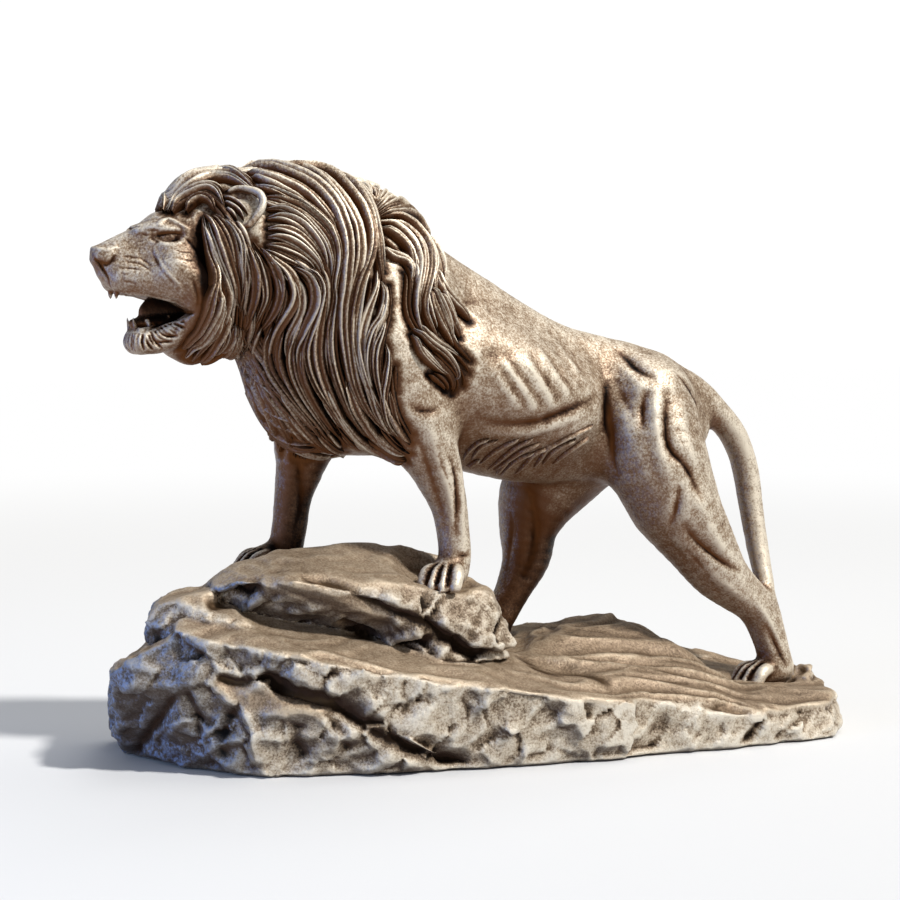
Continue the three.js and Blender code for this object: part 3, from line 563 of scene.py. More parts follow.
# Locks of the mane: width, height, lift over their neighbours, and the pixels where they show
HAIR_CHEEK = [
    (6.5, 3.6, 1, [(204.4, 214.8), (214.2, 226.7), (221.8, 241.9), (229.4, 261.4), (235.9, 280.9),
        (239.8, 300.4), (241.9, 315.6)]),
    (6, 3.2, 0.2, [(208.1, 221.3), (210.9, 233.2), (216.8, 248.4), (221.8, 265.7), (225, 287.4),
        (229.4, 304.8), (234.8, 322.1)]),
    (6, 2.8, 0, [(203.4, 215.9), (206, 231), (210.9, 248.4), (214.2, 270.1), (215.9, 291.7), (220.7, 311.3),
        (228.3, 326.4)]),
    (6, 3.4, 0.8, [(212, 215.9), (225, 228.9), (232.6, 244.1), (236.3, 261.4), (239.3, 280.9)]),
    (5.5, 3.2, 0.8, [(220.7, 220.6), (232.6, 231), (239.8, 244.1), (241.9, 261.4), (243.2, 278.7),
        (242.4, 296.1)]),
    (6, 3.6, 0.4, [(243.5, 241.9), (245, 257.1), (248.9, 270.1), (248.4, 287.4), (245, 304.8),
        (241.9, 322.1)]),
    (6.5, 4.2, 0.8, [(247.1, 246.2), (253.2, 263.6), (256.5, 278.7), (256.2, 293.9), (252.1, 309.1),
        (245.6, 322.1), (241.3, 332.9)]),
    (6.5, 3.8, 0.2, [(254.5, 250.6), (261.9, 265.7), (266.2, 280.9), (267.1, 296.1), (261.9, 311.3),
        (256.5, 324.3)]),
    (6.5, 4.2, 0.8, [(260.2, 248.4), (270.6, 261.4), (277.5, 274.4), (280.5, 289.6), (277.1, 304.8),
        (269.5, 318.8), (260.2, 330.8)]),
    (7, 4.4, 0.6, [(263, 250.6), (277.1, 261.4), (289.6, 272.2), (295.7, 287.4), (294.4, 302.6),
        (286.8, 315.6), (279.2, 328.6), (274.5, 343.8), (274.9, 358.9), (283.6, 372)]),
    (6, 3.6, 0.2, [(281.4, 265.7), (294.4, 278.7), (301.3, 291.7), (302, 306.9), (296.6, 319.9),
        (290.1, 332.9), (287.9, 348.1), (291.2, 365.4)]),
    (6.5, 4, 0.6, [(292.2, 266.8), (307.4, 276.6), (314.3, 291.7), (312.8, 309.1), (305.2, 326.4),
        (298.7, 343.8), (297.7, 361.1), (302, 376.3)]),
    (7, 4.2, 0.8, [(296.6, 265.7), (311.7, 270.1), (320.8, 280.9), (323, 296.1), (319.3, 313.4),
        (314.3, 330.8), (310, 348.1), (312.2, 367.6), (320.4, 387.1), (333.4, 406.6), (348.6, 426.1)]),
]
HAIR_JAW = [
    (5.5, 3, 0, [(214.2, 278.7), (210.3, 296.1), (206.6, 313.4), (199, 328.6), (189.3, 339.4),
        (181.7, 349.2)]),
    (5.5, 3.2, 0.4, [(216.8, 289.6), (213.8, 313.4), (205.5, 332.9), (193.6, 344.9), (184.9, 357.9)]),
    (5.5, 3.2, 0, [(220.7, 302.6), (216.8, 324.3), (207.3, 341.6), (196.9, 353.5), (191.4, 361.1)]),
    (5.5, 3.2, 0.5, [(225, 311.3), (221.1, 330.8), (213.1, 345.9), (204.4, 356.8), (200.1, 361.5)]),
    (5.5, 3, 0, [(229.8, 317.8), (226.8, 335.1), (219.6, 347), (212, 354.6)]),
    (5.5, 3, 0.4, [(234.8, 322.1), (232.6, 335.1), (226.1, 345.9), (219.6, 351.4)]),
    (5.5, 2.8, 0, [(239.1, 324.3), (237, 335.1), (231.5, 342.7)]),
]
HAIR_UPPER = [
    (6.5, 3.8, 0.6, [(264.1, 199.6), (281.4, 205), (299.8, 212.6), (316.1, 224.5), (329.1, 239.7),
        (334.1, 257.1), (332.8, 275.5)]),
    (6, 3.4, 0.2, [(265.8, 209.4), (281.4, 210.5), (298.7, 218.5), (313.9, 232.1), (325.2, 248.4),
        (330.2, 266.8), (329.1, 280.9)]),
    (6, 3.6, 0.6, [(267.1, 219.1), (283.6, 219.1), (299.8, 226.7), (313, 239.7), (322.6, 256),
        (326.5, 272.2)]),
    (6, 3.2, 0.1, [(267.7, 228.9), (283.1, 228.9), (298.7, 235.8), (311.3, 247.3), (320.8, 261.4),
        (325.2, 276.6)]),
    (6, 3.4, 0.5, [(267.3, 237.6), (281.4, 238.6), (295.5, 244.5), (307.8, 253.8), (317.8, 265.7),
        (322.6, 278.7)]),
    (6, 3, 0, [(265.8, 245.1), (279.2, 248), (294, 253.8), (307, 261.8), (316.1, 271.2)]),
    (5.5, 3, 0.3, [(264.1, 249.5), (278.1, 254.9), (292.2, 261.4), (304.2, 268.3)]),
    (7, 4.2, 0.8, [(253.2, 186.6), (272.7, 193.8), (292.2, 202.4), (311.7, 214.4), (326.9, 228.9),
        (335.2, 245.1), (336.7, 262.5), (334.1, 279.8), (334.1, 299.3), (338.8, 321)]),
    (7.5, 4.2, 0.6, [(244.5, 176.9), (268.4, 181.2), (290.1, 188.8), (309.6, 200.7), (323.7, 214.8),
        (333.4, 227.8), (338.8, 241.9)]),
    (8, 4.6, 1, [(235.9, 169.9), (261.9, 172.1), (283.6, 176.4), (305.7, 185.1), (323, 198.1),
        (334.5, 213.7), (341.7, 231), (344.9, 249.5), (344.7, 270.1), (342.5, 291.7), (340.4, 313.4),
        (342.5, 335.1), (346.9, 356.8), (351.8, 378.5), (360.5, 400.1), (375.7, 421.8)]),
    (8, 4.6, 0.6, [(253.2, 164.3), (281.4, 165.6), (307.4, 174.3), (329.1, 189.4), (344.3, 206.8),
        (355.5, 226.7), (359.9, 246.7), (357.7, 268.3), (351.2, 290), (347.9, 313.4), (349, 335.1),
        (352.5, 356.8), (356.2, 377.4), (363.8, 399.1), (377.9, 420.7), (395.2, 437)]),
    (8, 4.6, 1, [(272.7, 161.2), (303.1, 164.3), (326.9, 176.4), (346.4, 193.8), (361.6, 213.3),
        (369.4, 235.4), (368.5, 257.1), (361, 278.7), (354.5, 302.6), (353.4, 326.4), (355.5, 348.1),
        (360.5, 369.8), (369.2, 391.5)]),
    (8, 4.4, 0.6, [(294.4, 159.9), (320.4, 165.6), (342.1, 180.8), (359.4, 198.1), (370.7, 217.6),
        (374.2, 237.6), (377.4, 257.1), (380.7, 275.5), (382.4, 287.4)]),
    (6.5, 3.8, 1, [(311.7, 162.1), (334.5, 172.5), (355.5, 192), (368.5, 211.5), (375, 231), (380.5, 252.7),
        (383.7, 272.2)]),
]
HAIR_LONG = [
    (6.5, 4.2, 0.8, [(369.2, 261.4), (362, 278.7), (356.6, 300.4), (354.5, 324.3), (355.5, 345.9),
        (361, 367.6), (369.8, 389.3), (380, 406.6), (390.9, 424)]),
    (6.5, 4, 0.3, [(376.8, 270.1), (373.5, 291.7), (367, 311.3), (362, 330.8), (362, 352.4), (366.4, 374.1),
        (372, 395.8), (379.4, 415.3), (395.2, 435.9)]),
    (6, 3.8, 0.8, [(380, 282), (383.7, 300.4), (381.5, 317.8), (372.9, 331.8), (368.5, 348.1),
        (368.5, 367.6), (374, 389.3)]),
    (6, 3.8, 0.5, [(384.8, 319.9), (381.5, 335.1), (377.2, 350.3), (377.2, 369.8), (381.5, 391.5),
        (385.9, 411)]),
    (5.5, 3.6, 0.8, [(385.4, 343.8), (388.1, 358.9), (385.9, 378.5), (384.1, 398), (388.7, 419.6),
        (401.7, 438.1)]),
    (6.5, 4.2, 0.4, [(333.4, 278.7), (333.9, 300.4), (331.7, 324.3), (331.7, 345.9), (336, 367.6),
        (344.7, 391.5), (355.5, 415.3), (369.2, 435.9)]),
    (7, 4.4, 0.7, [(326.5, 283.1), (322.6, 304.8), (319.3, 326.4), (317.8, 348.1), (320.8, 369.8),
        (330.2, 393.6), (342.1, 417.5), (356.2, 440.2)]),
    (6.5, 4.2, 0.3, [(311.7, 313.4), (306.3, 332.9), (302, 352.4), (303.5, 374.1), (312.2, 395.8),
        (325.2, 417.5), (341, 438.1)]),
    (6.5, 4.2, 0.7, [(297, 326.4), (292.7, 348.1), (294.4, 369.8), (303.1, 391.5), (316.5, 413.1),
        (332.3, 434.8)]),
    (6.5, 4, 0.3, [(284.6, 324.3), (279.7, 345.9), (283.1, 367.6), (290.5, 385), (302, 403.4),
        (317.2, 422.9), (331.3, 442.4)]),
    (6.5, 4, 0.6, [(272.7, 322.1), (268.8, 343.8), (273.2, 365.4), (281.8, 381.1), (292.7, 396.9),
        (310, 418.6), (324.8, 440.2)]),
    (6, 3.6, 0.2, [(261.9, 326.4), (258, 345.9), (262.3, 363.3), (273.2, 380.6), (286.8, 396.9),
        (300.9, 415.3)]),
    (6, 3.6, 0.5, [(251, 328.6), (247.8, 345.9), (253.6, 363.3), (264.5, 379.5), (278.1, 394.7),
        (290.1, 411)]),
    (5.5, 3.2, 0.1, [(240.2, 330.8), (239.8, 350.3), (247.1, 367.6), (260.2, 383.9), (272.7, 400.1)]),
    (5.5, 3.2, 0.4, [(232.6, 341.6), (235.9, 356.8), (243.5, 370.2), (254.3, 381.7), (266.2, 392.5)]),
    (6, 3.4, 0.5, [(264.1, 380.6), (270.6, 398), (278.1, 415.3), (290.1, 432.7), (303.1, 447.8)]),
    (6, 3.4, 0.2, [(277.1, 391.5), (290.1, 408.8), (304.2, 426.1), (320.4, 442.4), (333.4, 450)]),
    (6, 3.6, 0.5, [(346.4, 378.5), (356.2, 402.3), (370.3, 424), (385.4, 441.3), (399.5, 450)]),
    (6, 3.4, 0.2, [(331.3, 400.1), (344.3, 421.8), (360.5, 439.2), (378.9, 448.9), (396.3, 456.5)]),
    (6, 3.4, 0.5, [(236, 350), (248, 370), (260, 394), (269, 418), (277, 442)]),
    (6, 3.6, 0.2, [(243, 356), (258, 378), (270, 402), (281, 428), (291, 448)]),
    (6, 3.4, 0.6, [(238, 346), (254, 362), (268, 384), (280, 408), (292, 432), (304, 450)]),
    (5.5, 3.2, 0.3, [(249, 368), (257, 386), (264, 408), (269, 432)]),
]
HAIR_SHOULDER = [
    (6, 4, 0.8, [(374.6, 222.4), (387.6, 226.7), (401.1, 235.4), (411.9, 248.4), (418.4, 265.7),
        (417.3, 283.1), (414.1, 300.4), (416.2, 319.9), (423.4, 338.4)]),
    (5.5, 3.6, 0.3, [(377.9, 228.9), (392, 235.4), (404.5, 247.3), (411.5, 261.4), (413.2, 276.6)]),
    (6, 4.2, 1, [(381.1, 215.9), (398.9, 220.2), (414.1, 233.2), (424.9, 250.6), (429.2, 270.1),
        (426, 289.6), (422.7, 306.9), (427.1, 324.3), (438.6, 342.7)]),
    (5.5, 3.6, 0.4, [(385.4, 220.6), (405, 230.6), (418, 245.8), (423.4, 262.5), (422.3, 280.9),
        (418.4, 300.4), (420.1, 317.8)]),
    (5.5, 3.6, 0.3, [(414.7, 231), (427.7, 246.2), (434.4, 265.7), (432.3, 283.1), (436.4, 300.4)]),
    (5, 3.2, 0.8, [(431, 270.1), (438.6, 287.4), (448.7, 300.4), (460, 311.3), (470, 319.9)]),
    (5, 3.4, 0.4, [(427.1, 289.6), (433.6, 311.3), (442.2, 330.8), (453.1, 347)]),
    (5, 3.2, 0.8, [(429.2, 287.4), (440.1, 306.9), (447.2, 326.4), (451.6, 342.7)]),
    (5.5, 3.6, 0.8, [(412.5, 328.6), (427.1, 341.6), (442.2, 352.4), (453.1, 364.4), (457.4, 376.3),
        (450.5, 381.1)]),
    (5, 3.2, 0.3, [(411.5, 335.1), (421.2, 353.5), (434.2, 366.5), (448.7, 375.2)]),
    (5, 3.2, 0.3, [(416.2, 324.3), (432.1, 339.4), (448.7, 349.8), (460, 357.9)]),
    (5.5, 3, 0.3, [(378.9, 248.4), (390.2, 254.9), (403.2, 260.5), (411.5, 270.1), (409.7, 284.2)]),
]
HAIR_WITHERS = [
    (6, 3.6, 0.8, [(333.4, 167.1), (344.7, 183.4), (357.7, 198.5), (368.5, 210.5)]),
    (6, 3.6, 0.3, [(342.1, 172.1), (353.4, 179.5), (362, 192), (367, 205)]),
    (6, 3.6, 0.8, [(356.2, 174.7), (367, 183.4), (371.4, 194.2), (372.4, 205)]),
    (6, 3.6, 0.4, [(372.4, 205), (378.9, 193.1), (387.6, 184.4), (395.2, 183.4)]),
    (6.5, 4, 0.8, [(373.5, 206.1), (383.3, 194.2), (395.2, 188.1), (407.1, 191.6)]),
    (6.5, 4, 0.3, [(373.5, 209.4), (386.5, 199.6), (401.1, 196.8), (414.1, 202.9), (420.1, 211.5)]),
    (6.5, 4, 0.8, [(374.6, 212.6), (388.7, 205), (403.9, 203.9), (416.9, 210.5), (423.2, 221.3)]),
    (6.5, 3.8, 0.3, [(375.7, 215.9), (390.9, 210.5), (406, 211.1), (418.4, 218.5), (423.6, 231)]),
    (6, 3.6, 0.6, [(376.8, 218.5), (393, 215.4), (408.2, 217.6), (419.1, 225.6), (422.7, 234.3)]),
]
HAIR_FORELOCK = [
    (7, 3.8, 0.4, [(161.1, 208.9), (167.6, 190.9), (179.1, 175.8), (194.3, 167.1), (212, 165.6),
        (231.5, 168.6), (247.8, 175.8)]),
    (7, 3.8, 0.8, [(163.9, 211.5), (174.7, 194.2), (188.2, 179.5), (205.5, 172.5), (222.9, 172.5),
        (240.6, 180.8), (256.5, 193.1)]),
    (6.5, 3.6, 0.3, [(168.2, 212), (181.2, 199), (194.7, 186.8), (212, 180.3), (229.4, 180.3), (245, 187.3),
        (258, 196.8)]),
    (6, 3.4, 0.6, [(172.6, 212.6), (185.6, 201.1), (196.4, 193.3), (207.3, 190.3), (216.8, 194.6),
        (223.3, 207.2), (231.5, 220.2), (239.1, 228.9)]),
    (5.5, 3, 0.2, [(186, 211.5), (192.5, 201.8), (201.2, 196.8), (210.3, 200.7), (215.3, 211.5)]),
    (5.5, 3, 0.2, [(161.7, 207.2), (164.8, 196.4), (171.9, 183.4), (180.6, 174.7)]),
]
# Guides of the chest's hair, from the throat down, and of the hair between the ears
CHEST = [
    [(-158, -3, 250), (-151, -3, 238), (-143, -3, 222), (-134, -3, 208), (-120, -3, 192)],
    [(-158, -9, 250), (-150, -9, 238), (-142, -10, 222), (-133, -11, 208), (-116, -12, 191)],
    [(-155, -14, 250), (-147, -15, 234), (-138, -18, 220), (-127, -20, 204), (-106, -22, 187)],
    [(-146, -22, 250), (-140, -25, 234), (-132, -28, 220), (-118, -31, 203), (-96, -30, 186)],
]
CREST = [
    [(-194, -2, 312), (-188, -2, 326), (-176, -2, 338), (-160, -2, 343), (-140, -3, 345), (-115, -3, 344)],
    [(-193, -7, 312), (-186, -8, 325), (-174, -8, 336), (-158, -9, 340), (-138, -10, 342),
        (-112, -10, 341)],
]
# Tufts under the belly: the pixels along their crests
BELLY = [
    [(489.8, 437.9), (478.6, 442.1), (467.3, 451.9), (463.1, 460.3)],
    [(498.2, 438.6), (484.2, 443.5), (476.5, 450.5), (471, 460)],
    [(519.3, 437.2), (505.2, 444.9), (491.2, 453.3), (479, 463)],
    [(533.3, 437.2), (516.5, 446.3), (498.2, 460.3), (487, 468.8)],
    [(540.3, 442.1), (523.5, 449.1), (506.6, 460.3), (492.6, 470.2)],
    [(534.7, 450.5), (519.3, 457.5), (506.6, 467.4), (501, 475.8)],
    [(548.7, 446.3), (534.7, 451.9), (526.3, 461.7), (514, 474)],
    [(558.5, 442.1), (547.3, 447.7), (541.7, 456.1), (533, 467)],
    [(575.4, 437.9), (561.4, 444.9), (550.1, 453.3), (541.7, 464.1)],
    [(592.2, 423.9), (572.6, 435.1), (554.3, 443.5), (541.5, 450.1)],
    [(479.6, 458.3), (473, 462.8), (465.9, 465.2)],
    [(508.6, 459.3), (495.4, 473)],
    [(588, 436), (574, 446), (562, 455), (552, 464)],
]
# Strands inside the ear, in pixels
EAR_TUFT = [
    [(224, 199), (233, 201), (242, 207), (248, 215)],
    [(224, 204), (232, 207), (240, 213), (244, 221)],
    [(226, 210), (232, 214), (237, 221)],
]


FLOW_REACH = 6.0  # how far off a line still guides a strand
FLOW_LIMIT = 7.0  # a strand ends where no line is nearer
SHORTEST = 6  # a strand of fewer points isn't made
THROAT_END = -160  # x at which the throat ends toward the head
UNDERSIDE = -.7  # z of the normal below which a surface looks down
EAR_PIXEL = (243, 208)
EAR_MIDDLE = seen([EAR_PIXEL])[0]
EAR_CLEAR = 10.0  # room kept free of the mane around the ear
CHEST_END = -108  # locks ahead of this x and below this height lie on the chest
CHEST_TOP = 240
# painted shade: the chest's locks and the short strands below the locks are darker
CHEST_SHADE = 0.6  # they are darker than the others
FILL_SHADE = 0.26  # and so are the short strands below the locks


def laid(path, rings, mirror=False):
    """A path brought onto the figure's surface, on its left or mirrored to its right."""
    line = resample(path, rings)
    if mirror:
        line = line * np.array([1, -1, 1])
    line = whole.settle(line)
    line[1:-1] = (line[:-2] + 2 * line[1:-1] + line[2:]) / 4
    return line


def sheet_of(guides, count=24):
    """A function of the place across the guides, 0 to 1, and along them, 0 to 1."""
    grid = np.array([resample(g, count) for g in guides])

    def at(across, along):
        x = np.clip(np.asarray(across, float), 0, 1) * (len(guides) - 1)
        y = np.clip(np.asarray(along, float), 0, 1) * (count - 1)
        i = np.minimum(x.astype(int), len(guides) - 2)
        j = np.minimum(y.astype(int), count - 2)
        fx, fy = (x - i)[..., None], (y - j)[..., None]
        return ((grid[i, j] * (1 - fx) + grid[i + 1, j] * fx) * (1 - fy)
                + (grid[i, j + 1] * (1 - fx) + grid[i + 1, j + 1] * fx) * fy)
    return at


# A lock is a line on the surface, its width, height, lift over its neighbours and number of strands.

def comb(guides, count, width, height, lift, end, wave, mirror, dice):
    """Locks laid side by side over the sheet that the guides span.
    end is where along the guides they may end, and wave how far they sway across them."""
    at = sheet_of(guides)
    made = []
    for n in range(count):
        u = (n + 0.5 + dice.uniform(-.18, .18)) / count
        t = np.linspace(dice.uniform(0, .1), dice.uniform(*end), 9)
        bend = wave * np.sin(2 * math.pi * (t * dice.uniform(.7, 1.3) + dice.uniform()))
        made.append((laid(at(u + bend, t), 26, mirror), width * dice.uniform(.85, 1.2),
                     height * dice.uniform(.8, 1.2), lift * dice.uniform(.6, 1.3), 2))
    return made


def grown(lines, count, steps, step, spread, mirror, dice):
    """Short strands that follow the lie of the given lines."""
    spots = np.vstack(lines)
    ways = np.vstack([np.gradient(line, axis=0) for line in lines])
    ways /= np.linalg.norm(ways, axis=1, keepdims=True)
    heads = spots[dice.integers(len(spots), size=count)] + dice.normal(0, spread, (count, 3))
    track = [whole.settle(heads)]
    off = []
    for _ in range(steps):
        gap = ((track[-1][:, None] - spots[None]) ** 2).sum(-1)
        off.append(np.sqrt(gap.min(1)))
        weight = np.exp(-gap / (2 * FLOW_REACH ** 2)) + 1e-12
        way = (weight[..., None] * ways[None]).sum(1)
        way /= np.maximum(np.linalg.norm(way, axis=1, keepdims=True), 1e-6)
        track.append(whole.settle(track[-1] + way * step, walks=2))
    track = np.stack(track, 1)
    off = np.stack(off, 1)
    made = []
    for path, far in zip(track, off):
        stop = int(dice.integers(steps * 2 // 3, steps + 1))
        wide = np.nonzero(far > FLOW_LIMIT)[0]
        if len(wide):
            stop = min(stop, int(wide[0]))
        if stop < SHORTEST:
            continue
        # none grows on the underside of the beard and the throat
        if path[0][0] < THROAT_END and whole.normal(path[:stop], 2.0)[:, 2].min() < UNDERSIDE:
            continue
        made.append((laid(path[:stop], 16, mirror), dice.uniform(3.4, 4.8), dice.uniform(1.8, 2.7),
                     dice.uniform(-.3, .5), 1))
    return made


def side_locks(mirror):
    """The locks of one side, each with its painted shade: short strands, combed locks, and the traced ones on
    top.
    """
    dice = np.random.default_rng(31 + 7 * mirror)
    shown = [seen(pixels) for _, _, _, pixels in MANE]
    guides = [resample(path, 24) for path in shown]
    made = grown(guides, 220, steps=20, step=3.0, spread=4.0, mirror=mirror, dice=dice)
    below = len(made)
    above = grown(guides, 110, steps=14, step=3.0, spread=2.0, mirror=mirror, dice=dice)
    made += [(line, width * 1.25, height * 1.5, lift + 1.6, 1 + n % 2)
             for n, (line, width, height, lift, _) in enumerate(above)]
    made += comb(CHEST, 15, width=7.6, height=4.2, lift=0.8, end=(.85, 1), wave=.04, mirror=mirror, dice=dice)
    made += comb(CREST, 5, width=6.0, height=3.2, lift=0.4, end=(.9, 1), wave=.02, mirror=mirror, dice=dice)
    for (width, height, lift, pixels), path in zip(MANE, shown):
        made.append((laid(path, 30, mirror), width * 1.35, height * 1.45 * dice.uniform(.85, 1.2),
                     lift * 1.4 + .5, 2 if width >= 7.5 else int(dice.integers(2, 4))))
    middle = EAR_MIDDLE * np.array([1, -1 if mirror else 1, 1])
    kept = []
    for number, lock in enumerate(made):
        lock = (*lock, FILL_SHADE if number < below else 1.0)
        clear = np.linalg.norm(lock[0] - middle, axis=1) > EAR_CLEAR
        # a lock that would cross the ear keeps its longest free stretch
        cuts = np.nonzero(~clear)[0]
        if len(cuts) == 0:
            kept.append(lock)
            continue
        first, last = lock[0][:cuts[0]], lock[0][cuts[-1] + 1:]
        longest = first if len(first) >= len(last) else last
        if len(longest) > 7:
            kept.append((resample(longest, len(lock[0])), *lock[1:]))
    return kept


SINK = 1.8  # how deep the edges of a lock lie below the surface


class Hair:
    """Locks collected into one mesh."""

    def __init__(self):
        self.points, self.faces, self.cavity, self.count = [], [], [], 0

    def lock(self, line, width, height, lift, strands, shade=1.0, lean=0.0, phase=0.0):
        """One lock that swells from its root and runs out to a point, furrowed between its strands.
        lean raises one edge over the other and paints that edge lighter, as painted light from its side, and
        lift raises the whole over its neighbours.
        t runs along the lock and s across it. The tone is light on the crests of the strands, with painted
        shade where the lock lies low, at its root and its tip."""
        rings = len(line)
        across = 4 * strands + 1
        normal = whole.normal(line, 2.0)
        along = np.gradient(line, axis=0)
        along /= np.maximum(np.linalg.norm(along, axis=1, keepdims=True), 1e-6)
        side = np.cross(along, normal)
        side /= np.maximum(np.linalg.norm(side, axis=1, keepdims=True), 1e-6)
        t = np.linspace(0, 1, rings)[:, None]
        s = np.linspace(-1, 1, across)[None]
        swell = np.minimum(1, .25 + t / .28 * .75) * np.clip(1 - t ** 2.8, 0, 1) ** .7
        swell = np.maximum(swell, .03)
        rise = np.minimum(1, t / .12 + .25) * np.clip(1 - t ** 5, 0, 1) ** .6
        crown = np.clip(1 - np.abs(s) ** 2.2, 0, 1) ** .6
        furrow = .5 - .5 * np.cos(math.pi * strands * (s + 1) + .8 * np.sin(3.3 * t + phase) * (strands > 1))
        depth = .48 if strands > 1 else .12
        shape = crown * (1 - depth + depth * furrow) * (1 + lean * s)
        up_by = -SINK + (SINK + height * rise) * shape + lift * rise * crown
        top = line[:, None] + side[:, None] * (s * width / 2 * swell)[..., None]
        top = top + normal[:, None] * up_by[..., None]
        under = line - normal * (SINK + 1.0)
        rows = np.concatenate([top, under[:, None]], 1)
        # painted light and shade: crests light, the root and the tip shaded, the raised edge lit
        light = 1.45 * crown ** 2.7 * (.10 + .90 * furrow) * (.35 + .65 * rise) * (1 + 1.1 * lean * s)
        light = np.clip(.02 + light * shade, 0, 1)
        ring = across + 1
        index = np.arange(rings * ring).reshape(rings, ring) + self.count
        a, b = index[:-1], index[1:]
        quads = np.stack([a, np.roll(a, -1, 1), np.roll(b, -1, 1), b], -1).reshape(-1, 4)
        self.points.append(rows.reshape(-1, 3))
        self.cavity.append(np.concatenate([light, np.zeros((rings, 1))], 1).ravel())
        self.faces.append(quads)
        self.count += rings * ring

    def piece(self, name):
        points, faces = np.vstack(self.points), np.vstack(self.faces)
        return mesh_of(name, points, faces, {"cavity": np.concatenate(self.cavity)})


MANE = HAIR_CHEEK + HAIR_JAW + HAIR_UPPER + HAIR_LONG + HAIR_SHOULDER + HAIR_WITHERS + HAIR_FORELOCK
manes = []
hair_lines = []
for mirror, name in ((False, "mane_left"), (True, "mane_right")):
    hair = Hair()
    dice = np.random.default_rng(5 + mirror)
    for line, width, height, lift, strands, shade in side_locks(mirror):
        if line[:, 0].mean() < CHEST_END and line[:, 2].mean() < CHEST_TOP:
            shade *= CHEST_SHADE
        hair.lock(line, width, height, lift, strands, shade * dice.uniform(.58, 1.2),
                  lean=dice.choice((-1, 1)) * dice.uniform(.15, .55), phase=dice.uniform(0, 6))
        hair_lines.append(line)
    for pixels in EAR_TUFT:
        hair.lock(laid(seen(pixels), 14, mirror), 3.2, 3.0, 1.2, 1)
    manes.append(hair.piece(name))

belly = Hair()
for mirror in (False, True):
    for pixels in BELLY:
        belly.lock(laid(seen(pixels), 18, mirror), 5.0, 2.4, .2, 1, shade=.95, lean=.3)
manes.append(belly.piece("belly_fur"))

shade_tree = KDTree(sum(len(line) for line in hair_lines))
for number, spot in enumerate(np.vstack(hair_lines)):
    shade_tree.insert(spot, number)
shade_tree.balance()


def away_from(points, spot):
    """How far points are from a spot on the lion's left, or on its right from the spot's twin."""
    folded = np.column_stack([points[:, 0], np.abs(points[:, 1]), points[:, 2]])
    return np.linalg.norm(folded - spot * np.array([1, -1, 1]), axis=1)


def under_hair(points):
    """1 below the locks, 0 clear of them and at the ears."""
    gap = np.array([shade_tree.find(p)[2] for p in points])
    ear = away_from(points, EAR_MIDDLE)
    return np.clip((5.5 - gap) / 4, 0, 1) * np.clip((ear - 11) / 4, 0, 1)


# The body's surface

# A point's tone, 0 in a hollow and 1 on a crest: its level, what the bend of the surface adds to it,
# and what dark lines, the painted shade of the inner faces, the darker paws and the painted shadow of the
# hair take away
BODY_TONE, BODY_BEND = 0.67, 0.27
HEAD_TONE, HEAD_BEND = 0.72, 0.36
DARK_LINES = 0.62
INNER_SHADE = 0.55
PAW_DARK = 0.32
HAIR_SHADOW = 0.5
skin = Skin(body)
# pixels of the photograph, width and height of each rib
RIBS = [
    ([(490, 366), (502, 384), (514, 402), (519, 412)], 4.4, 0.9),
    ([(497, 352), (513, 376), (529, 400), (535, 414)], 4.6, 1.1),
    ([(519, 350), (533, 372), (547, 395), (557, 412)], 4.6, 1.1),
    ([(535, 344), (549, 366), (562, 386), (572, 402)], 4.6, 1.0),
    ([(553, 338), (566, 356), (577, 372), (584, 384)], 4.2, .7),
]
for pixels, width, height in RIBS:
    for line in both(seen(pixels)):
        skin.line(resample(line, 12), width, height * .75)
        skin.line(resample(line + np.array([5.0, 0, 1.0]), 12), width * .8, -height * .6, ends=.45, dark=.14)
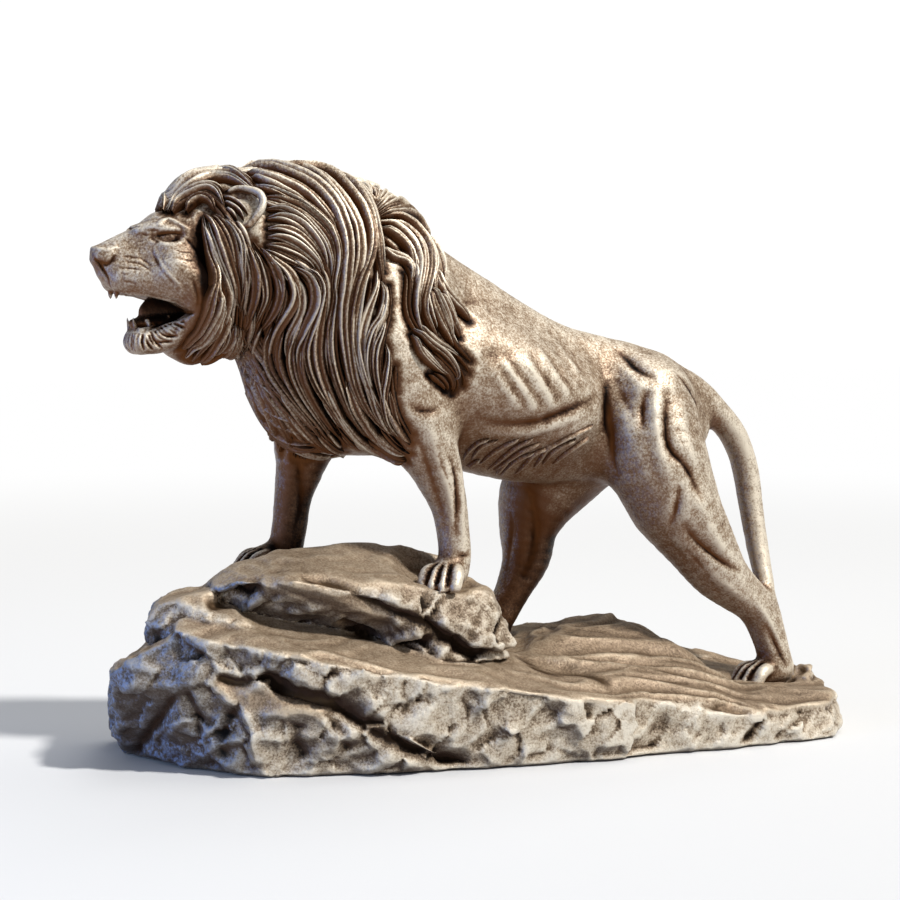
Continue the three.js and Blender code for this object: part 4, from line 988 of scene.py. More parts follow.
# Folds of the muscles: pixels, width, depth, dark, and whether the far side has them too
GROOVES = [
    ([(473, 412), (484, 420), (506, 424), (533, 423), (561, 413), (582, 404),
        (598, 394)], 3.8, -2.8, .9, 1),
    ([(452, 300), (470, 302), (486, 300)], 3.6, -1.0, .3, 1),
    ([(440, 262), (448, 284), (462, 318), (478, 352)], 6, -1.4, .3, 1),
    ([(478, 352), (498, 356), (514, 350)], 5, -1.0, .3, 1),
    ([(408, 404), (424, 411), (440, 408)], 2, -1.6, .8, 1),
    ([(606, 378), (608, 400), (610, 430), (613, 463), (622, 476)], 3.6, -4.2, 1, 0),
    ([(615, 348), (626, 358), (636, 368), (648, 376), (657, 377)], 3.0, -2.6, .9, 0),
    ([(615, 378), (622, 392), (628, 406), (634, 420)], 3.4, -1.4, .4, 0),
    ([(647, 389), (643, 407), (643, 432)], 2.6, -2.6, .9, 0),
    ([(668, 389), (666, 422), (670, 448), (688, 470), (703, 504)], 2.8, -3.0, 1, 0),
    ([(679, 483), (678, 500), (674, 516), (669, 527)], 2.0, -2.2, .8, 0),
    ([(682, 521), (692, 536), (703, 547), (723, 562), (741, 571)], 2.4, -3.0, 1, 0),
    ([(680, 542), (698, 562), (713, 580)], 2.2, -1.6, .5, 0),
    ([(677, 374), (688, 386), (698, 407)], 2.6, -2.2, .8, 0),
    ([(764, 618), (770, 632), (777, 646), (787, 669)], 1.8, -2.4, 1, 0),
    ([(435, 436.5), (440.7, 460.3), (449.1, 484.2), (453.3, 506.6)], 1.2, -1.0, .6, 0),
    ([(449, 453.3), (456.1, 478.6), (456.8, 512.2), (455.4, 538)], 1.7, -2.0, 1, 0),
    ([(412.6, 418.2), (421, 446.3), (432.3, 481.4), (442, 512), (447, 534)], 2.6, -1.4, .7, 0),
    ([(456, 553.6), (463, 555), (470, 553)], 1.2, -1.2, .9, 0),
    ([(297, 440), (300, 470), (300, 505), (292, 535)], 2.4, -1.8, .6, 0),
    ([(529, 484), (534, 505), (537, 530), (533, 555), (522, 580)], 3.4, -2.6, .8, 0),
    ([(510, 500), (512, 530), (508, 560), (504, 590)], 2.4, -1.2, .4, 0),
    ([(600, 300), (606, 315), (612, 330), (615, 348)], 4.0, -1.2, .4, 0),
    ([(640, 318), (646, 336), (652, 356)], 4.0, -1.0, .3, 0),
]
# Pixels, width and height of the ridges beside them
RIDGES = [
    ([(478.6, 430.8), (506.6, 434.3), (534.7, 432.2), (564.2, 421.6), (586.6, 410.4)], 3.4, 1.4),
    ([(620, 362), (636, 384), (642, 410)], 4.6, 1.0),
    ([(656, 386), (656, 410), (658, 440), (664, 465), (672, 490)], 4.4, 1.8),
    ([(620, 400), (628, 430), (642, 465), (655, 500)], 5.5, 1.2),
    ([(684, 400), (684, 425), (690, 450), (700, 470)], 4.6, 1.3),
    ([(694, 488), (704, 510), (714, 534), (726, 554)], 4.6, 1.4),
    ([(672, 532), (688, 552), (706, 570), (726, 586), (746, 602)], 3.2, 1.8),
    ([(756, 600), (768, 622), (778, 644), (784, 664)], 2.2, 1.2),
    ([(428, 421), (436.5, 449), (446.3, 478.6), (451, 512), (452, 535)], 2.8, 1.2),
    ([(452, 432), (459, 463), (461.7, 489.8), (461, 522), (465, 545)], 2.2, 1.4),
]
for pixels, width, depth, dark, pair in GROOVES:
    line = resample(seen(pixels), 16)
    for one in (both(line) if pair else [line]):
        # a soft hollow with a narrow crease at its bottom
        skin.line(one, width * 2.1, depth * .55, ends=.45, dark=dark * .30)
        skin.line(one, width * .85, depth * .40, ends=.45, dark=dark * .55)
for pixels, width, height in RIDGES:
    skin.line(resample(seen(pixels), 16), width * 1.3, height * .7)
# The gaps between the toes: how far forward, how far aside and how high each point of one lies
TOE_GAP = ((5, 6, 16.5), (12, 8.5, 15.5), (18, 9.6, 10), (21, 9.8, 3))
for x, y, sole, turn in PAWS:
    c, s = math.cos(math.radians(turn)), math.sin(math.radians(turn))
    for side in (-2 / 3, 0, 2 / 3):
        gap = [(x - f * c - side * a * s, y - f * s + side * a * c, sole + h) for f, a, h in TOE_GAP]
        skin.line(resample(gap, 10), 1.6, -1.5, ends=.15, dark=1)
P = skin.points
# slow and fine unevenness of the cast
skin.push += 0.35 * layered(P, 22, 3, 5) + 0.14 * layered(P, 4, 2, 9)
skin.push -= 1.0 * under_hair(P)
skin.finish()

points, faces, edges = skin.points, skin.faces, skin.edges
bend = convexity(points, faces, edges, 10) + convexity(points, faces, edges, 3) * 1.8
# painted shade on the inner faces of the legs, and the paws are darker
N = normals_of(points, faces)
inner = np.clip(-N[:, 1] * np.sign(points[:, 1]) * 1.4, 0, 1) * np.clip(np.abs(points[:, 1]) / 8, 0, 1)
inner *= np.clip((200 - points[:, 2]) / 30, 0, 1)
paws = sum(np.exp(-((points[:, 0] - x + 8) ** 2 + (points[:, 1] - y) ** 2 + (points[:, 2] - sole) ** 2) / 400)
           for x, y, sole, _ in PAWS)
cavity = BODY_TONE + bend * BODY_BEND - skin.dark * DARK_LINES - inner * INNER_SHADE - paws * PAW_DARK
cavity = np.clip(np.clip(cavity, 0, 1) - HAIR_SHADOW * under_hair(points), 0, 1)
lion_body = mesh_of("lion_body", points, faces, {"cavity": cavity})

# The head's surface

face = Skin(head)
# pixels, width, depth and dark: eye, nose, whisker rows, cheek and the edge of the mane
FACE_GROOVES = [
    ([(150, 233), (157, 236), (166, 237.5), (176, 236.5), (186, 232)], 2.6, -1.7, .4),
    ([(155, 234), (163, 233), (172, 232.5), (183, 232)], 1.5, -1.7, 1),
    ([(158, 239), (166, 241), (174, 240.5), (181, 238)], .9, -.8, .6),
    ([(147, 231), (153, 230), (160, 231)], 1.0, -.9, .7),
    ([(150, 236), (154, 240), (160, 243)], 1.4, -.8, .5),
    ([(151, 246), (154, 256), (160, 267), (170, 279), (181, 290)], 1.3, -.7, .3),
    ([(161, 256), (168, 268), (178, 279), (188, 290)], 1.0, -.4, .15),
    ([(128, 229), (135, 227), (143, 228)], 1.0, -.8, .5),
    ([(134, 235), (143, 234), (150, 236)], 0.9, -.6, .3),
    ([(186, 238), (192, 244), (196, 250)], 1.2, -.6, .3),
    ([(98, 259), (102, 263), (107, 264), (112, 260), (115, 254)], 1.5, -1.2, .9),
    ([(92, 253), (97, 262), (103, 270), (108, 279), (112, 289)], 1.4, -1.8, .9),
    ([(122, 256), (132, 257), (143, 260), (152, 266)], 0.8, -.5, .25),
    ([(120, 262), (131, 262), (142, 265), (152, 272)], 0.8, -.5, .25),
    ([(118, 268), (130, 268), (141, 271), (151, 278)], 0.8, -.5, .25),
    ([(118, 274), (129, 275), (139, 278), (148, 284)], 0.8, -.5, .25),
    ([(120, 281), (130, 282), (139, 284)], 0.8, -.4, .2),
    ([(175, 250), (184, 252), (193, 252)], 0.8, -.4, .2),
    ([(176, 257), (186, 260), (196, 260)], 0.8, -.4, .2),
    ([(180, 265), (189, 268), (198, 268)], 0.8, -.4, .2),
    ([(192, 276), (196, 288), (198, 300), (196, 312)], 1.6, -.6, .3),
    ([(201, 226), (206, 245), (208, 265), (209, 290), (204, 315)], 7.0, -1.6, .8),
]
# pixels, width and height: brow, eyeball, lids, lips, cheekbone and nose
FACE_RIDGES = [
    ([(157, 226), (162, 221.5), (169, 219.5), (178, 223.5), (191, 230.5)], 1.8, 1.0),
    ([(162, 237), (168, 237.5), (175, 237)], 1.0, .5),
    ([(156, 243), (166, 245), (176, 244), (186, 240)], 2.2, .5),
    ([(118, 291), (129, 293), (138, 294), (154, 297.5), (168, 300), (177, 304), (186, 313)], 1.5, 1.3),
    ([(131, 328), (138, 330), (148, 329), (155, 326), (162, 322), (170, 316), (177, 311)], 1.4, 1.2),
    ([(158, 262), (166, 273), (176, 283), (184, 296)], 2.6, .6),
    ([(90, 248), (100, 250), (110, 249), (118, 246)], 2.0, .8),
]
# Furrows of the short hair along the lower jaw and the chin
JAW_FURROWS = [
    [(157, 328), (162.5, 334.5), (171, 337), (178, 335)], [(164, 324), (170.5, 331), (177, 333)],
    [(171, 318), (176, 324), (182, 327), (186, 328)], [(175, 316), (180, 320), (187, 324)],
    [(151, 331), (153, 338), (157, 344), (162.5, 348)], [(154, 334.5), (158, 342), (166, 342), (173, 341)],
    [(146, 337), (148, 344), (153, 350)], [(139, 333), (137.5, 342), (140, 351)], [(136, 333), (133, 342),
        (136, 351)],
    [(131, 333), (128, 342), (131, 351)], [(143, 334), (142, 342), (144, 350)],
    [(160, 326), (166, 333), (174, 336)], [(167.5, 321), (173.5, 327.5), (180, 330)],
    [(154, 330), (160, 338), (168, 340)], [(148.5, 334), (151, 341), (155, 346)],
    [(133.5, 333), (130.5, 342), (133.5, 351)], [(127, 334), (125, 342), (127, 349)],
]
for pixels, width, depth, dark in FACE_GROOVES:
    for one in both(resample(seen(pixels), 14)):
        face.line(one, width, depth, dark=dark)
for pixels, width, height in FACE_RIDGES:
    for one in both(resample(seen(pixels), 14)):
        face.line(one, width, height, ends=.2)
for pixels in JAW_FURROWS:
    for one in both(resample(seen(pixels), 10)):
        face.line(one, 0.95, -2.0, dark=1, ends=.2)
P = face.points
mouth = polygon_distance(P[:, 0], P[:, 2], MOUTH)
inside = np.clip((2.0 - mouth) / 2.5, 0, 1) * np.clip((13 - np.abs(P[:, 1])) / 3, 0, 1)
face.push += 0.22 * layered(P, 12, 2, 3) + 0.08 * layered(P, 3, 2, 8)
face.push -= 0.8 * under_hair(P)
face.finish()
points, faces, edges = face.points, face.faces, face.edges
bend = convexity(points, faces, edges, 14) * 0.9 + convexity(points, faces, edges, 4) * 1.9
cavity = HEAD_TONE + bend * HEAD_BEND - face.dark * DARK_LINES
# painted shade in the ear's bowl; the nose is darker and the chin lighter
NOSE_SPOT = np.array([-231, -4, 288])
CHIN_SPOT = np.array([-219, -8, 243])
for spot, reach, amount in ((bowl[1], 8.5, .9), (NOSE_SPOT, 5.5, .45), (CHIN_SPOT, 8, -.15)):
    cavity -= amount * np.exp(-(away_from(points, spot) / reach) ** 2)
# painted shade: the cheek darkens from its middle to the edge of the mane
CHEEK_PIXEL = (170, 268)
MANE_EDGE_PIXEL = (203, 268)
front, rear = seen([CHEEK_PIXEL, MANE_EDGE_PIXEL])
share = np.clip((points - front) @ (rear - front) / ((rear - front) @ (rear - front)), 0, 1)
cavity -= 0.52 * share ** 1.3 * np.clip((318 - points[:, 2]) / 10, 0, 1)
# painted shade inside the mouth
cavity = np.clip(cavity - inside * 0.8, 0, 1)
# the teeth and the tongue are kept lighter than the painted shade of the mouth around them
for fang in FANGS:
    for one in both(np.array(fang)[:, :3]):
        near, d, _ = line_distance(points, one, 4)
        cavity[near] = np.maximum(cavity[near], np.clip(1.7 - d, 0, .8))
TONGUE_TOP = [(-190, 0, 259), (-203, 0, 259), (-211, 0, 257)]
TONGUE_REACH = 9
near, d, _ = line_distance(points, TONGUE_TOP, TONGUE_REACH)
cavity[near] = np.maximum(cavity[near], .38 * np.clip(1 - d / TONGUE_REACH, 0, 1))
cavity = np.clip(cavity - HAIR_SHADOW * under_hair(points), 0, 1)
lion_head = mesh_of("lion_head", points, faces, {"cavity": cavity})

# Rock

# The slabs that the rock is broken into, each by the corners of its hull
BLOCKS = [
    [(-203, 60, 0), (-197, 92, 0), (-176, -5, 0), (-151, -42, 0), (-120, -52, 0), (-100, 92, 0),
        (-225, 0, 60), (-211, 60, 50), (-198, 90, 48), (-194, -20, 80), (-170, -42, 62), (-130, -50, 50),
        (-120, 80, 75)],
    [(-203, -4, 72), (-206, -4, 86), (-197, -4, 99), (-168, -8, 103), (-160, 70, 95), (-170, 76, 88),
        (-180, 78, 64), (-150, -34, 84), (-110, 88, 60), (-182, -20, 76)],
    [(-197, -22, 83), (-168, 6, 98), (-171, -42, 66), (-146, -60, 71), (-104, -74, 63), (-30, -86, 48),
        (14, -92, 40), (60, -92, 33), (-100, 50, 92), (0, 60, 66), (60, 0, 52), (-140, -45, 42),
        (-97, -72, 26), (-42, -72, 0), (60, -88, 0), (60, 60, 0), (-150, 60, 0)],
    [(-151, -42, 0), (-103, -56, 0), (-42, -68, 0), (-60, 20, 0), (-168, -42, 60), (-150, -54, 52),
        (-121, -66, 42), (-97, -73, 30), (-60, -80, 14), (-100, 20, 50)],
    [(-168, -12, 104), (-166, 0, 107), (-149, 0, 117), (-125, 0, 124), (-80, 0, 126), (-48, -4, 122.5),
        (-26, -10, 116), (-157, -30, 108), (-135, -45, 111), (-113, -50, 107), (-85, -55, 97),
        (-51, -60, 84), (-16, -48, 103), (-4, -42, 96), (3, -46, 80), (4, -58, 66), (-18, -62, 66),
        (-160, 45, 94), (-120, 55, 103), (-60, 55, 103), (-8, 36, 92), (-150, -24, 96), (-100, -38, 84),
        (-50, -45, 68), (-8, -44, 60), (-6, 36, 56), (-150, 45, 70)],
    [(-186, 86, 56), (-150, 80, 82), (-60, 78, 86), (0, 74, 62), (-192, 90, 0), (20, 95, 0), (-190, 0, 0),
        (20, 0, 0), (-140, 40, 96), (-20, 40, 84), (34, 70, 48)],
    [(-20, -60, 52), (24, -50, 52), (50, 20, 57), (80, 14, 65), (104, 10, 69), (120, 12, 62), (146, 14, 45),
        (60, -86, 34), (120, -84, 29), (160, -60, 26), (40, 86, 48), (80, 60, 56), (120, 86, 40),
        (-20, 92, 0), (170, 93, 0), (-20, -72, 0), (170, -92, 0), (160, 80, 30), (-20, 84, 46)],
    [(120, 30, 48), (150, 26, 46), (167, 22, 41), (190, 20, 33), (222, 20, 25), (100, 86, 40),
        (186, 82, 28), (212, 58, 22), (100, 0, 30), (120, 95, 0), (205, 92, 0), (228, 40, 0), (100, 0, 0),
        (228, 0, 0)],
    [(50, -82, 30), (140, -90, 22), (206, -82, 19), (222, -62, 23), (230, -40, 25), (230, 20, 22),
        (160, 30, 34), (100, 30, 40), (170, -30, 25), (30, -84, 0), (206, -90, 0), (224, -66, 0),
        (230, -30, 0), (230, 50, 0), (205, 90, 0), (100, 60, 0)],
    [(212, -52, 24), (209, -40, 36), (212, -24, 42), (219, -22, 41), (225, -34, 34), (229, -30, 26),
        (228, -10, 24), (210, 4, 26), (206, -30, 0), (228, -36, 0), (228, 6, 0), (206, 6, 0)],
]


def planes_of(corners):
    """Outward planes of the hull of some corners, as rows of a normal and an offset."""
    bm = bmesh.new()
    for c in corners:
        bm.verts.new(c)
    bmesh.ops.convex_hull(bm, input=bm.verts)
    centre = np.mean(corners, 0)
    rows = set()
    for f in bm.faces:
        if f.calc_area() < 1e-3:
            continue
        n = np.array(f.normal)
        p = np.array(f.verts[0].co)
        if n @ (p - centre) < 0:
            n = -n
        rows.add(tuple(np.round([*n, n @ p], 4)))
    bm.free()
    return np.array(sorted(rows))


def hull_distance(X, Y, Z, corners):
    """Distance from a grid to the hull of some corners, negative inside."""
    best = None
    for nx, ny, nz, off in planes_of(corners):
        d = X * nx + Y * ny + Z * nz - off
        best = d if best is None else np.maximum(best, d)
    return best.astype(np.float32)


ROCK_GRID = ((-234, -102, -4), (238, 104, 136), 1.7)
BELOW = -9  # corners on the ground reach down to here, and the rock is cut flat at 0 afterwards
WARP = 3.0  # how far the slabs' faces bend out of their planes
rock = Field(*ROCK_GRID, far=40.0)
cut, X, Y, Z = rock.window((-400, -400, -400), (400, 400, 400))
grid = np.stack(np.broadcast_arrays(X, Y, Z), -1).astype(np.float32)
warp = [layered(grid, 26, 2, 31), layered(grid, 26, 2, 57), 0.6 * layered(grid, 26, 2, 83)]
warped = grid + (np.stack(warp, -1) * WARP).astype(np.float32)
for corners in BLOCKS:
    corners = [(x, y, z if z > 0 else BELOW) for x, y, z in corners]
    rock.values = np.minimum(rock.values, hull_distance(*np.moveaxis(warped, -1, 0), corners))


PAW_HALF_LENGTH = 25
PAW_HALF_WIDTH = 17.5


def ring_round(x, y, widened, z):
    """Eight corners round a paw at one height."""
    a = 2 * math.pi * (np.arange(8) + 0.5) / 8
    return [(x + PAW_HALF_LENGTH * widened * math.cos(t), y + PAW_HALF_WIDTH * widened * math.sin(t), z)
            for t in a]


# every paw stands on a flat foot of rock, in a shallow dish that opens upward
for x, y, sole, turn in PAWS:
    ground = sole - .3
    foot = [*ring_round(x, y, 1, ground), *ring_round(x, y, 1.5, ground * .6)]
    rock.values = np.minimum(rock.values, hull_distance(X, Y, Z, foot))
    dish = [*ring_round(x, y, .75, ground), *ring_round(x, y, 2.2, sole + 30)]
    rock.values = np.maximum(rock.values, -hull_distance(X, Y, Z, dish))
rock.values = np.maximum(rock.values, -Z).astype(np.float32)


def facets(P, scale, tilt, depth, seed):
    """Offsets of broken stone: every cell is a plane with its own slope and depth."""
    number, offset = cells(P, scale, seed)
    slopes = np.stack([(number * n) % 1 for n in (57.0, 113.0, 191.0)], -1) * 2 - 1
    return (offset * slopes).sum(-1) * tilt + (number - .5) * depth


def scoops(P, scale, depth, seed):
    """Offsets of broken stone: shallow scoops that meet in sharp ridges."""
    _, offset = cells(P, scale, seed)
    return depth * (((offset / np.asarray(scale)) ** 2).sum(-1) * 2.2 - .6)


# The rock's surface

# Its tone, made as the body's is
ROCK_TONE, ROCK_BEND = 0.63, 0.32
CRACK_DARK = 0.6
GROUND_DARK = 0.16
EDGE_DARK = 0.20
stone = Skin(rock)
# pixels of the photograph, width, depth and dark of the cracks, or width and height of the edges
ROCK_CRACKS = [
    ([(258, 672), (282, 690), (305, 699), (335, 706), (362, 722), (395, 742), (430, 757),
        (468, 767)], 6.5, -8, 1),
    ([(136, 753), (150, 730), (162, 712), (176, 692)], 4.0, -4, .55),
    ([(205, 606), (222, 602), (240, 594), (262, 584)], 6.0, -5, 1),
    ([(300, 578), (330, 582), (377, 606), (415, 617), (445, 636), (472, 652), (494, 648)], 4.5, -5, 1),
    ([(515, 656), (535, 668), (553, 674), (579, 676), (600, 682), (614, 688)], 6.0, -2.2, .7),
    ([(338, 621), (356, 628), (376, 638)], 5.5, -5, .9),
    ([(216, 677), (235, 683), (254, 679)], 3.5, -4, .9),
    ([(405, 676), (403, 690), (407, 702), (404, 716)], 2.0, -1.0, .25),
    ([(468, 687), (465, 700), (469, 711), (466, 724)], 2.0, -1.0, .25),
    ([(300, 722), (296, 742), (306, 760)], 6.0, -2.4, .4),
    ([(335, 718), (342, 736), (350, 752)], 5.0, -2.2, .4),
    ([(185, 690), (196, 712), (200, 740)], 4.0, -3, .3),
    ([(240, 700), (225, 730), (222, 760)], 5.0, -2, .5),
]
ROCK_EDGES = [
    ([(294, 658), (320, 655), (366, 665), (406, 675), (435, 678), (489, 685)], 3.0, 1.8),
    ([(259, 722), (277, 711), (314, 711), (348, 709), (377, 730), (406, 750)], 3.2, 2.2),
    ([(216, 687), (239, 710), (252, 724), (255, 750), (262, 774)], 4.5, 3.4),
    ([(173, 629), (205, 649), (225, 675)], 3.5, 2.4),
    ([(112, 668), (128, 664), (150, 668), (172, 684)], 3.5, 2.2),
]
for pixels, width, depth, dark in ROCK_CRACKS:
    stone.line(resample(seen(pixels, rock), 24), width, depth, ends=.12, dark=dark)
for pixels, width, height in ROCK_EDGES:
    stone.line(resample(seen(pixels, rock), 24), width, height, ends=.15)
# 1 on steep faces, which are broken, and 0 on those that look up, which are rippled
P = stone.points
N = normals_of(P, stone.faces)
N = smoothed(N, stone.edges, 3)
N /= np.linalg.norm(N, axis=1, keepdims=True)
steep = np.clip((0.70 - N[:, 2]) / 0.30, 0, 1) * np.clip((N[:, 2] + 0.9) / 0.1, 0, 1)
above = np.clip(P[:, 2] / 4, 0, 1)
wavy = P + 4 * np.stack([noise(P, 14, 1), noise(P, 14, 2), noise(P, 14, 3)], -1)
fine = P + 1.5 * np.stack([noise(P, 6, 4), noise(P, 6, 5), noise(P, 6, 6)], -1)
slanted = np.array([[.8, 0, -.6], [0, 1, 0], [.6, 0, .8]])
broken = (scoops(wavy @ slanted, (34, 30, 20), 3.6, 5) + scoops(fine @ slanted, (15, 14, 9.5), 1.3, 9)
          + facets(wavy @ slanted, (24, 22, 13), .17, .8, 19) + scoops(fine, (7, 7, 5), .4, 13)
          + layered(P, 7, 3, 21) * .3)
# Pixels along the ledges that stay smooth
LEDGES = [
    [(226, 684), (248, 696), (275, 703), (300, 706), (322, 708)],
    [(262, 584), (300, 590), (350, 606), (380, 620)],
]
for pixels in LEDGES:
    near, d, _ = line_distance(P, resample(seen(pixels, rock), 16), 10)
    steep[near] *= np.clip((d - 4) / 5, 0, 1)
# painted shade and a painted cool reflection on the end toward the head, which faces away from the light
turned = smoothed(N, stone.edges, 25)
turned /= np.linalg.norm(turned, axis=1, keepdims=True)
end = np.clip((-turned[:, 0] - 0.46) / 0.22, 0, 1)
# long ripples on the faces that look up, strongest behind the slab
along = P @ np.array([[1, 0, .25], [0, 1, 0], [-.25, 0, 1]])
flow = np.abs(layered(along + 8 * noise(P, 40, 71)[:, None], (110, 15, 9), 2, 41))
soft = (1.1 + 1.3 * np.clip(P[:, 0] / 40, 0, 1)) * (1.2 - 3 * flow) + layered(P, 3.4, 2, 43) * 0.18
calm = smoothed(P, stone.edges, 10)
stone.points = P * steep[:, None] + calm * (1 - steep)[:, None]
stone.push = (stone.push + steep * broken + (1 - steep) * soft) * above
stone.normals = N
stone.finish()
stone.points = smoothed(stone.points, stone.edges, 1, .25)
stone.points[:, 2] = np.maximum(stone.points[:, 2], 0.0)
points, faces, edges = stone.points, stone.faces, stone.edges
bend = convexity(points, faces, edges, 10) * 0.4 + convexity(points, faces, edges, 3) * 0.9
# the ground at the rear and the edge of the slab are darker
rear_ground = np.clip((points[:, 0] - 20) / 60, 0, 1) * (1 - steep)
slab_edge = steep * np.clip((points[:, 2] - 62) / 8, 0, 1) * np.clip((points[:, 0] + 90) / 30, 0, 1)
cavity = ROCK_TONE + bend * ROCK_BEND - stone.dark * CRACK_DARK
cavity = cavity - GROUND_DARK * rear_ground - EDGE_DARK * slab_edge
rock_piece = mesh_of("rock", points, faces, {
    "cavity": np.clip(cavity, 0, 1), "steep": smoothed(steep, edges, 1), "end": end * steep,
})

# Materials

# Colours from the hollows to the crests, and the places of these four on the scale of tone
TONES = (0.14, 0.38, 0.62, 0.94)
LION_CRESTS = ((0.007, 0.004, 0.003), (0.105, 0.052, 0.025), (0.33, 0.235, 0.152), (0.79, 0.71, 0.58))
ROCK_CRESTS = ((0.018, 0.011, 0.007), (0.185, 0.130, 0.082), (0.50, 0.42, 0.32), (0.74, 0.68, 0.575))
GROUND_CRESTS = ((0.08, 0.050, 0.028), (0.20, 0.138, 0.085), (0.34, 0.25, 0.165), (0.52, 0.42, 0.30))
SHADED_END_CRESTS = ((0.008, 0.008, 0.009), (0.042, 0.034, 0.030), (0.088, 0.076, 0.070), (0.26, 0.28, 0.33))
# painted shade and painted reflection: the colours of faces turned away from the light and of the cool
# reflection, the light's direction, and the way the faces with the reflection are turned
LION_SHADE_COLOUR = (0.125, 0.046, 0.015)
ROCK_SHADE_COLOUR = (0.050, 0.030, 0.022)
PAINTED_REFLECTION = (0.20, 0.28, 0.50)
SHADE_LIGHT_FROM = (0.5, -0.12, 0.75)  # faces turned away from here are shaded
HEAD_END = (-0.93, -0.2, 0.3)  # faces turned this way have the cool sheen


def bronze(name, crests, under, faces_up=None, rough=(0.40, 0.56), metallic=0.42, shade=(0.32, -0.44),
           painted_sheen=0.28):
    """Old bronze: dark in the hollows, worn light on the crests, with painted red-brown shade on faces turned
    away from the light and a painted cool reflection on crests that face the head's end. crests holds the
    colours from hollow to crest, faces_up those of smooth rock that looks up, under that of the painted
    shade, shade says where on the scale of turning away it begins and ends, and painted_sheen how strong the
    painted reflection is."""
    material = bpy.data.materials.new(name)
    material.use_nodes = True
    nodes, links = material.node_tree.nodes, material.node_tree.links
    nodes.clear()

    def node(kind, **values):
        made = nodes.new(kind)
        for key, value in values.items():
            setattr(made, key, value)
        return made

    def reckoned(operation, a, b, clamp=False):
        made = node("ShaderNodeMath", operation=operation, use_clamp=clamp)
        for socket, value in zip(made.inputs, (a, b)):
            if isinstance(value, (int, float)):
                socket.default_value = value
            else:
                links.new(value, socket)
        return made.outputs[0]

    def times(a, b):
        return reckoned("MULTIPLY", a, b)

    def plus(a, b, clamp=False):
        return reckoned("ADD", a, b, clamp)

    def mixed(share, a, b):
        made = node("ShaderNodeMix", data_type="RGBA")
        for socket, value in ((made.inputs[0], share), (made.inputs[6], a), (made.inputs[7], b)):
            if isinstance(value, (tuple, float, int)):
                socket.default_value = (*value, 1) if isinstance(value, tuple) else value
            else:
                links.new(value, socket)
        return made.outputs[2]

    def ranged(value, low, high, to_low, to_high, kind="LINEAR"):
        made = node("ShaderNodeMapRange", interpolation_type=kind)
        links.new(value, made.inputs[0])
        for socket, number in zip(made.inputs[1:5], (low, high, to_low, to_high)):
            socket.default_value = number
        return made.outputs[0]

    coordinates = node("ShaderNodeTexCoord").outputs["Object"]

    def noise_node(scale, detail, roughness=0.6):
        made = node("ShaderNodeTexNoise")
        made.inputs["Scale"].default_value = scale
        made.inputs["Detail"].default_value = detail
        made.inputs["Roughness"].default_value = roughness
        links.new(coordinates, made.inputs["Vector"])
        return made.outputs["Fac"]

    def ramp_of(colours, tone):
        made = node("ShaderNodeValToRGB")
        elements = made.color_ramp.elements
        for element, place, colour in zip(elements, (TONES[0], TONES[3]), (colours[0], colours[3])):
            element.position = place
            element.color = (*colour, 1)
        for place, colour in zip(TONES[1:3], colours[1:3]):
            elements.new(place).color = (*colour, 1)
        links.new(tone, made.inputs[0])
        return made.outputs[0]

    def facing(direction):
        made = node("ShaderNodeVectorMath", operation="DOT_PRODUCT")
        links.new(node("ShaderNodeNewGeometry").outputs["Normal"], made.inputs[0])
        made.inputs[1].default_value = direction
        return made.outputs["Value"]

    def attribute(key):
        return node("ShaderNodeAttribute", attribute_name=key).outputs["Fac"]

    cavity = attribute("cavity")
    speckle = noise_node(760, 2, 0.7)
    blotch = noise_node(150, 4, 0.65)
    broad = noise_node(22, 2, 0.5)
    uneven = plus(ranged(blotch, 0.3, 0.7, -.10, .10), ranged(broad, 0.3, 0.7, -.08, .08))
    grime = plus(ranged(speckle, 0.3, 0.7, -.21, .21), uneven)
    # the dark hollows have less of it
    grime = times(grime, ranged(cavity, 0.05, 0.5, 0.15, 1.0))
    tone = plus(cavity, grime, clamp=True)
    colour = ramp_of(crests, tone)
    height = plus(speckle, times(blotch, 1.6))
    strength = 0.35
    if faces_up:
        steep = attribute("steep")
        calm = ramp_of(faces_up, tone)
        colour = mixed(steep, calm, colour)
        pits = noise_node(260, 5, 0.7)
        height = plus(height, times(times(pits, steep), 4.0))
        strength = 0.55
        # painted shade on the rock's end toward the head
        end = attribute("end")
        colour = mixed(times(end, 0.9), colour, ramp_of(SHADED_END_CRESTS, tone))
    # painted shade: faces turned away from the light take the shade colour, less where the tone is light
    down = ranged(facing(SHADE_LIGHT_FROM), shade[0], shade[1], 0.0, 0.93, "SMOOTHSTEP")
    colour = mixed(times(down, ranged(tone, 0.2, 1, 1.0, 0.72)), colour, under)
    # a painted cool reflection on crests that face the head's end
    cool = times(ranged(facing(HEAD_END), 0.5, 0.9, 0.0, 1.0, "SMOOTHSTEP"),
                 ranged(noise_node(420, 4), 0.42, 0.62, 0.0, painted_sheen))
    cool = times(cool, ranged(tone, 0.30, 0.60, 0.0, 1.0))
    if faces_up:
        cool = times(cool, ranged(end, 0, 1, 0.25, 1.0))
    colour = mixed(cool, colour, PAINTED_REFLECTION)
    shader = node("ShaderNodeBsdfPrincipled")
    links.new(colour, shader.inputs["Base Color"])
    shader.inputs["Metallic"].default_value = metallic
    links.new(ranged(cavity, 0.05, 0.5, 0.0, 0.5), shader.inputs["Specular IOR Level"])
    links.new(ranged(blotch, 0.3, 0.7, rough[0], rough[1]), shader.inputs["Roughness"])
    bump = node("ShaderNodeBump")
    bump.inputs["Strength"].default_value = strength
    bump.inputs["Distance"].default_value = 0.0006
    links.new(height, bump.inputs["Height"])
    links.new(bump.outputs[0], shader.inputs["Normal"])
    out = node("ShaderNodeOutputMaterial")
    links.new(shader.outputs[0], out.inputs[0])
    return material


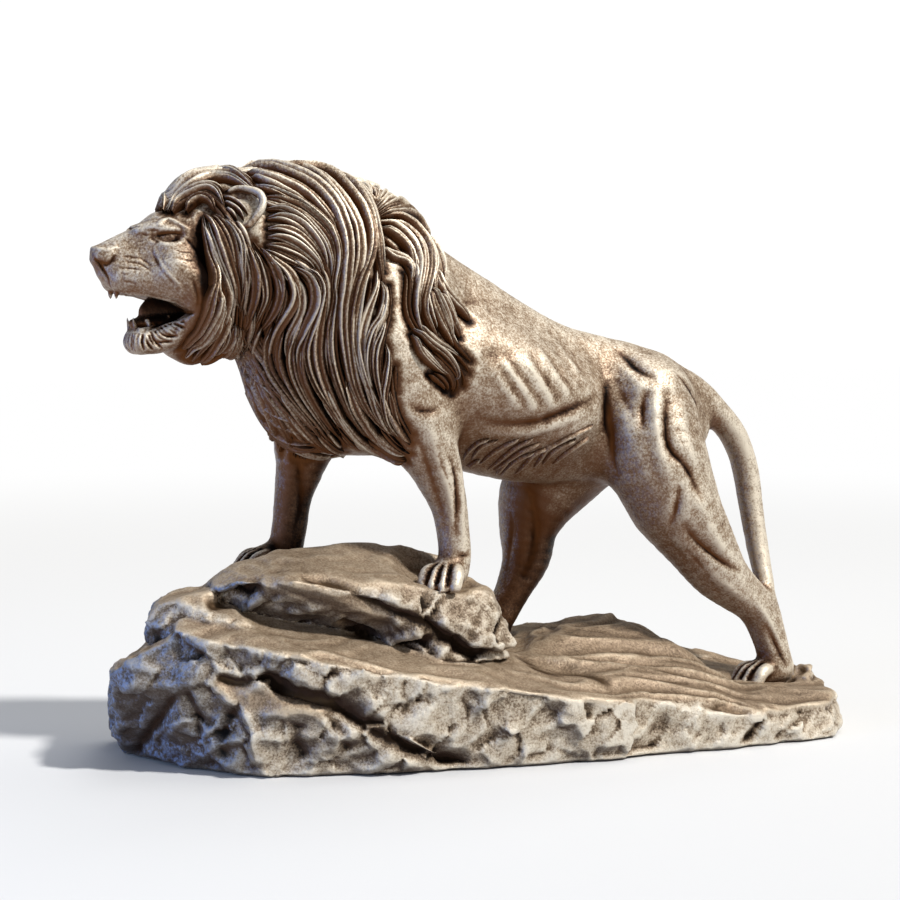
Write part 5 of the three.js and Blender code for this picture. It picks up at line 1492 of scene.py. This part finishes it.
lion_bronze = bronze("lion_bronze", LION_CRESTS, LION_SHADE_COLOUR)
rock_bronze = bronze("rock_bronze", ROCK_CRESTS, ROCK_SHADE_COLOUR, GROUND_CRESTS, rough=(0.42, 0.60), metallic=0.35,
                     shade=(-0.14, -0.50), painted_sheen=0.9)
for piece in (lion_body, lion_head, *manes):
    piece.data.materials.append(lion_bronze)
    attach(piece, "root")
    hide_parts("lion")
rock_piece.data.materials.append(rock_bronze)
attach(rock_piece, "root")
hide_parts("rock_base")

# Floor, sky and lamps

FLOOR_REACH = 6000.0 * MM
FLOOR_TOP = -0.4 * MM  # just below the rock, so that the two faces don't fight
FLOOR_CORNERS = ((-1, -1), (1, -1), (1, 1), (-1, 1))
floor_mesh = bpy.data.meshes.new("floor")
corners = [(x * FLOOR_REACH, y * FLOOR_REACH, FLOOR_TOP) for x, y in FLOOR_CORNERS]
floor_mesh.from_pydata(corners, [], [(0, 1, 2, 3)])
floor = bpy.data.objects.new("floor", floor_mesh)
bpy.context.scene.collection.objects.link(floor)
pale = bpy.data.materials.new("floor")
pale.use_nodes = True
nodes, links = pale.node_tree.nodes, pale.node_tree.links
pale_shader = nodes["Principled BSDF"]
pale_shader.inputs["Base Color"].default_value = (0.76, 0.77, 0.78, 1)
pale_shader.inputs["Roughness"].default_value = 0.9
# the floor fades into the white behind it
place = nodes.new("ShaderNodeTexCoord")
length = nodes.new("ShaderNodeVectorMath")
length.operation = "LENGTH"
links.new(place.outputs["Object"], length.inputs[0])
fade = nodes.new("ShaderNodeMapRange")
fade.interpolation_type = "SMOOTHSTEP"
links.new(length.outputs["Value"], fade.inputs[0])
FADE_FROM = 0.45  # metres from the middle
FADE_TO = 2.2
for socket, value in zip(fade.inputs[1:5], (FADE_FROM, FADE_TO, 0.0, 1.0)):
    socket.default_value = value
white = nodes.new("ShaderNodeEmission")
white.inputs[0].default_value = (1, 1, 1, 1)
white.inputs[1].default_value = 1.0
blend = nodes.new("ShaderNodeMixShader")
links.new(fade.outputs[0], blend.inputs[0])
links.new(pale_shader.outputs[0], blend.inputs[1])
links.new(white.outputs[0], blend.inputs[2])
links.new(blend.outputs[0], nodes["Material Output"].inputs[0])
floor.data.materials.append(pale)

# the camera sees white, and the object is lit by less
world = bpy.data.worlds.new("studio")
bpy.context.scene.world = world
world.use_nodes = True
nodes, links = world.node_tree.nodes, world.node_tree.links
nodes.clear()
path = nodes.new("ShaderNodeLightPath")
behind = nodes.new("ShaderNodeBackground")
behind.inputs[0].default_value = (1, 1, 1, 1)
behind.inputs[1].default_value = 1.05
around = nodes.new("ShaderNodeBackground")
around.inputs[0].default_value = (1.0, 0.985, 0.96, 1)
around.inputs[1].default_value = 0.26
mix = nodes.new("ShaderNodeMixShader")
links.new(path.outputs["Is Camera Ray"], mix.inputs[0])
links.new(around.outputs[0], mix.inputs[1])
links.new(behind.outputs[0], mix.inputs[2])
links.new(mix.outputs[0], nodes.new("ShaderNodeOutputWorld").inputs[0])


def aimed(light, place, aim):
    holder = bpy.data.objects.new(light.name, light)
    bpy.context.scene.collection.objects.link(holder)
    holder.location = place
    holder.rotation_mode = "QUATERNION"
    holder.rotation_quaternion = (Vector(aim) - Vector(place)).to_track_quat("-Z", "Y")


def lamp(name, place, aim, size, power, colour=(1, 1, 1)):
    light = bpy.data.lights.new(name, "AREA")
    light.shape = "RECTANGLE"
    light.size, light.size_y = size
    light.energy = power
    light.color = colour
    aimed(light, place, aim)


sun = bpy.data.lights.new("key", "SUN")
sun.energy = 3.1
sun.angle = math.radians(5)
sun.color = (1.0, 0.975, 0.94)
aimed(sun, place=(0.60, -0.80, 1.10), aim=(0, 0, 0))
lamp("top", place=(0.5, 0.2, 1.6), aim=(0, 0, 0.2), size=(1.4, 0.9), power=9)
lamp("cool", place=(-1.5, -0.3, 0.35), aim=(0, 0, 0.12), size=(0.6, 0.9), power=8, colour=(0.35, 0.55, 1.0))
